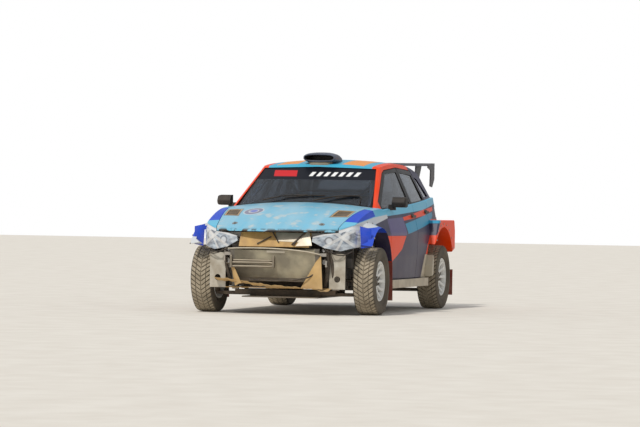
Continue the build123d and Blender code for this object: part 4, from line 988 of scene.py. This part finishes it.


# Grey-blue, with painted shade making the inside of the mouth black.
def scoopPaint():
    finish = Finish("paint_scoop", 0.4, 0.0, 0.1)
    colour = finish.mottled(tone(62, 72, 92), tone(92, 100, 116), 7.0, 5.0, 0.35)
    # Painted shade: the inside of the mouth, back to its closed end, is black.
    ahead = finish.ramp(finish.x, scoop["mouthX"], scoop["mouthX"] + 0.002)
    mouth = finish.lower(ahead, finish.inside(scoop["mouth"], (1, 2)))
    colour = finish.mix(mouth, colour, tone(8, 8, 10))
    return finish.done(finish.dusted(colour, 0.3, 1.2, 1.7, 9.0, 0.4))


scoopShell = place("roof_scoop_shell", scoopSkin(), scoopPaint(), "body", "dark_plastic")
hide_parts("roof_scoop")
footPaint = plain("paint_scoop_foot", tone(150, 138, 118), 0.6, lowZ=1.2, highZ=1.7)
scoopFoot = softBox(scoop["footPlace"], scoop["footSize"], 0.35)
place("roof_scoop_foot", scoopFoot, footPaint, "body", "dark_plastic")
print("body details done")

# Open front: cooler, braces, torn sheets, fittings, hoses and lamp wiring
cooler = {"passes": [(0.548, 0.512), (0.492, 0.456)], "pipeRadius": 0.011,
          "tanks": [((1.836, -0.430, 0.502), (0.036, 0.022, 0.120)),
                    ((1.836, -0.012, 0.502), (0.034, 0.018, 0.120))]}
panel = {"x": 1.806, "topZ": 0.782, "slope": 0.552}
brace = {
    "bars": [([(1.852, -0.46, 0.622), (1.868, -0.30, 0.630), (1.872, 0.0, 0.628), (1.868, 0.28, 0.608),
               (1.850, 0.45, 0.578)], 60, 0.007, 16),
             ([(1.790, -0.44, 0.812), (1.800, -0.25, 0.806), (1.802, -0.02, 0.800)], 30, 0.011, 14)],
    "sheets": [([(0.02, 0.700), (0.275, 0.690), (0.285, 0.778), (0.0, 0.782)], 0.004, 0.002, 0.004),
               ([(0.215, 0.655), (0.375, 0.662), (0.330, 0.790), (0.310, 0.792)], 0.012, 0.003, 0.0)],
    "strip": [(1.862, -0.075, 0.588), (1.862, 0.105, 0.588), (1.862, 0.105, 0.612), (1.862, -0.075, 0.612)],
    "struts": [((-0.165, 0.672), (-0.035, 0.742)), ((-0.035, 0.792), (0.045, 0.688)),
               ((0.175, 0.668), (0.290, 0.785)), ((0.195, 0.660), (0.225, 0.720))],
    "strutLift": 0.014, "strutRadius": 0.006,
}


# The slanted panel over the radiator lies on one plane; this gives its front surface, lifted a little.
def onPanel(y, z, lift=0.004):
    return np.array([panel["x"] + (panel["topZ"] - z) * panel["slope"] + lift, y, z])


coolerParts = [softBox(*tank, 0.25) for tank in cooler["tanks"]]
for high, low in cooler["passes"]:
    x = 1.852 - 0.30 * (high - 0.45)
    bend = [(x, y, z) for y, z in ((-0.415, high), (-0.20, high), (-0.045, high), (-0.012, (high + low) / 2),
                                   (-0.045, low), (-0.20, low), (-0.415, low))]
    coolerParts.append(tube(smoothPath(bend, 60), cooler["pipeRadius"], 14))
coolerMetal = plain("metal_cooler", tone(150, 142, 126), 0.45, 0.7, highZ=0.9)
place("oil_cooler", joined(coolerParts), coolerMetal, "body", "radiator_metal")

paleMetal = plain("sheet_pale_metal", tone(198, 190, 172), 0.45, 0.4, dirt=0.45, highZ=1.0)
braceParts = [tube(smoothPath(path, count), radius, around) for path, count, radius, around in brace["bars"]]
for corners, lift, thickness, bulge in brace["sheets"]:
    braceParts.append(plate([onPanel(y, z, lift) for y, z in corners], thickness, bulge=bulge))
braceParts.append(plate(brace["strip"], 0.003))
place("front_braces", joined(braceParts), paleMetal, "body", "shell_metal")
strutParts = []
for start, end in brace["struts"]:
    path = np.linspace(onPanel(*start, brace["strutLift"]), onPanel(*end, brace["strutLift"]), 6)
    strutParts.append(tube(path, brace["strutRadius"]))
place("front_struts", joined(strutParts), blackPlastic, "body", "dark_plastic")

tray = {
    "rightY": -0.600, "width": 1.135, "rootX": 1.742, "rootZ": 0.2545, "rise": 0.026, "thickness": 0.003,
    "edgeX": 1.845,
    "edgeY": [-0.60, -0.55, -0.09, 0.30, 0.51, 0.535], "edgeZ": [0.350, 0.345, 0.288, 0.262, 0.232, 0.236],
    "torn": [(1.800, 0.250, 0.262), (1.866, 0.478, 0.250), (1.846, 0.455, 0.566), (1.826, 0.430, 0.560)],
    "flap": [(1.800, -0.400, 0.268), (1.842, -0.330, 0.300), (1.828, -0.405, 0.452), (1.800, -0.440, 0.440)],
}


# The torn lip of the tray runs across the front; its free edge wanders by a few slow and quick sine waves.
def trayLip():
    y = tray["rightY"] + tray["width"] * np.linspace(0, 1, 90)
    edgeZ = np.interp(y, tray["edgeY"], tray["edgeZ"]) + 0.004 * np.sin(y * 37) + 0.0025 * np.sin(y * 91 + 1)
    edgeX = tray["edgeX"] + 0.018 * np.sin(y * 5 + 0.6) + 0.006 * np.sin(y * 43)
    rootZ = np.maximum(tray["rootZ"], edgeZ - tray["rise"])
    reach = np.linspace(0, 1, 12)[:, None]
    x = tray["rootX"] + (edgeX - tray["rootX"]) * reach
    z = rootZ + (edgeZ - rootZ) * reach**1.6
    top = np.stack([x, np.broadcast_to(y, x.shape), z], axis=-1)
    return closedPatch(top, top - (0, 0, tray["thickness"]))


trayParts = [trayLip(), plate(tray["torn"], 0.002, 20, 12, 0.012), plate(tray["flap"], 0.002, 14, 8, 0.008)]
place("torn_tray", joined(trayParts), tanSheet, "body", "tan_plastic")

# Dished cups, each a place, a radius and a length back from it
fittings = [((1.795, 0.478, 0.508), 0.030, 0.055), ((1.800, 0.470, 0.618), 0.020, 0.05)]
fittingParts = []
for side, name in bothSides:
    for centre, radius, length in fittings:
        cup = np.array([(0.0, -length), (radius, -length), (radius, 0.0), (radius * 0.8, 0.006),
                        (radius * 0.75, -0.010), (0.0, -0.014)])
        points, faces = revolved(cup[::-1], 32, False)
        fittingParts.append((points[:, [1, 0, 2]] + np.array(centre) * (1, side, 1), faces[:, ::-1]))
place("front_fittings", joined(fittingParts), fastener, "body", "running_gear_metal")

hoses = [
    ([(1.735, 0.470, 0.690), (1.780, 0.498, 0.600), (1.768, 0.500, 0.420), (1.722, 0.470, 0.275)], 0.021),
    ([(1.722, 0.440, 0.660), (1.756, 0.530, 0.540), (1.735, 0.545, 0.360), (1.700, 0.520, 0.262)], 0.014),
    ([(1.745, -0.465, 0.650), (1.790, -0.497, 0.560), (1.765, -0.488, 0.420), (1.730, -0.455, 0.300)], 0.016),
    ([(1.800, -0.30, 0.672), (1.852, -0.10, 0.650), (1.846, 0.12, 0.655), (1.790, 0.34, 0.640)], 0.009),
    ([(1.830, 0.400, 0.400), (1.842, 0.300, 0.352), (1.835, 0.050, 0.322), (1.828, -0.250, 0.330)], 0.007),
]
darkHose = plain("rubber_hoses", tone(34, 32, 30), 0.6, highZ=0.9)
hoseParts = [tube(smoothPath(path, 48), radius, 14) for path, radius in hoses]
place("front_hoses", joined(hoseParts), darkHose, "body", "dark_plastic")

wires = {"radius": 0.005,
         "paths": [[(1.760, 0.50, 0.655), (1.800, 0.56, 0.588), (1.770, 0.66, 0.575), (1.715, 0.74, 0.620)],
                   [(1.770, 0.44, 0.640), (1.815, 0.52, 0.605), (1.785, 0.62, 0.592), (1.700, 0.72, 0.600)]]}
wireFinish = plain("plastic_wires", tone(22, 22, 24), 0.5, dirt=0.3, highZ=0.9)
wireParts = [tube(smoothPath(np.array(path) * (1, side, 1), 40), wires["radius"], 10)
             for side, name in bothSides for path in wires["paths"]]
place("lamp_wires", joined(wireParts), wireFinish, "body", "dark_plastic")
print("open front done")

# Camera, light and floor
view = {"azimuth": radians(15.2), "elevation": radians(0.2), "roll": radians(0.83), "distance": 35.0,
        "target": (0.0, -0.062, 0.960), "sensor": 36, "focalPixels": 3506.0, "imageWidth": 640,
        "clipEnd": 200}
back = Vector((cos(view["azimuth"]) * cos(view["elevation"]), sin(view["azimuth"]) * cos(view["elevation"]),
               sin(view["elevation"])))
right = Vector((0, 0, 1)).cross(back).normalized()
up = back.cross(right)
rolledRight = right * cos(view["roll"]) + up * sin(view["roll"])
camera = bpy.data.cameras.new("photo_camera")
camera.lens = view["focalPixels"] / view["imageWidth"] * view["sensor"]
camera.sensor_width, camera.clip_end = view["sensor"], view["clipEnd"]
cameraObject = bpy.data.objects.new("photo_camera", camera)
cameraPlace = Matrix((rolledRight, back.cross(rolledRight), back)).transposed().to_4x4()
cameraPlace.translation = Vector(view["target"]) + back * view["distance"]
cameraObject.matrix_world = cameraPlace
bpy.context.scene.collection.objects.link(cameraObject)
bpy.context.scene.camera = cameraObject

light = {"sun": 2.1, "sunTurn": (radians(38), radians(10), radians(62)), "sunSize": radians(6),
         "sunColour": (1.0, 0.96, 0.9), "sky": 0.55, "skyColour": (0.93, 0.96, 1.0, 1.0)}
sun = bpy.data.lights.new("sun", "SUN")
sun.energy, sun.angle, sun.color = light["sun"], light["sunSize"], light["sunColour"]
sunObject = bpy.data.objects.new("sun", sun)
sunObject.rotation_euler = light["sunTurn"]
bpy.context.scene.collection.objects.link(sunObject)

# The camera sees plain white, also through glass, while everything else is lit by the sky
world = bpy.data.worlds.new("sky")
bpy.context.scene.world = world
world.use_nodes = True
tree = world.node_tree
surround = tree.nodes["Background"]
surround.inputs["Color"].default_value = light["skyColour"]
surround.inputs["Strength"].default_value = light["sky"]
plainWhite = tree.nodes.new("ShaderNodeBackground")
plainWhite.inputs["Color"].default_value = (1.0, 1.0, 1.0, 1.0)
rays = tree.nodes.new("ShaderNodeLightPath")
choose = tree.nodes.new("ShaderNodeMixShader")
seen = tree.nodes.new("ShaderNodeMath")
seen.operation, seen.use_clamp = "ADD", True
tree.links.new(rays.outputs["Is Camera Ray"], seen.inputs[0])
tree.links.new(rays.outputs["Is Transmission Ray"], seen.inputs[1])
tree.links.new(seen.outputs[0], choose.inputs[0])
tree.links.new(surround.outputs[0], choose.inputs[1])
tree.links.new(plainWhite.outputs[0], choose.inputs[2])
tree.links.new(choose.outputs[0], tree.nodes["World Output"].inputs["Surface"])
bpy.context.scene.view_settings.view_transform = "Standard"

ground = {"half": 60, "tones": (tone(222, 216, 206), tone(230, 225, 216))}
floorPoints = np.array([(-1, -1, 0), (1, -1, 0), (1, 1, 0), (-1, 1, 0)], float) * ground["half"]
floor = makePiece("floor", floorPoints, np.array([[0, 1, 2, 3]]), False)
floorFinish = Finish("ground", 0.9)
floor.data.materials.append(floorFinish.done(floorFinish.mottled(*ground["tones"], 3.0, 6.0)))
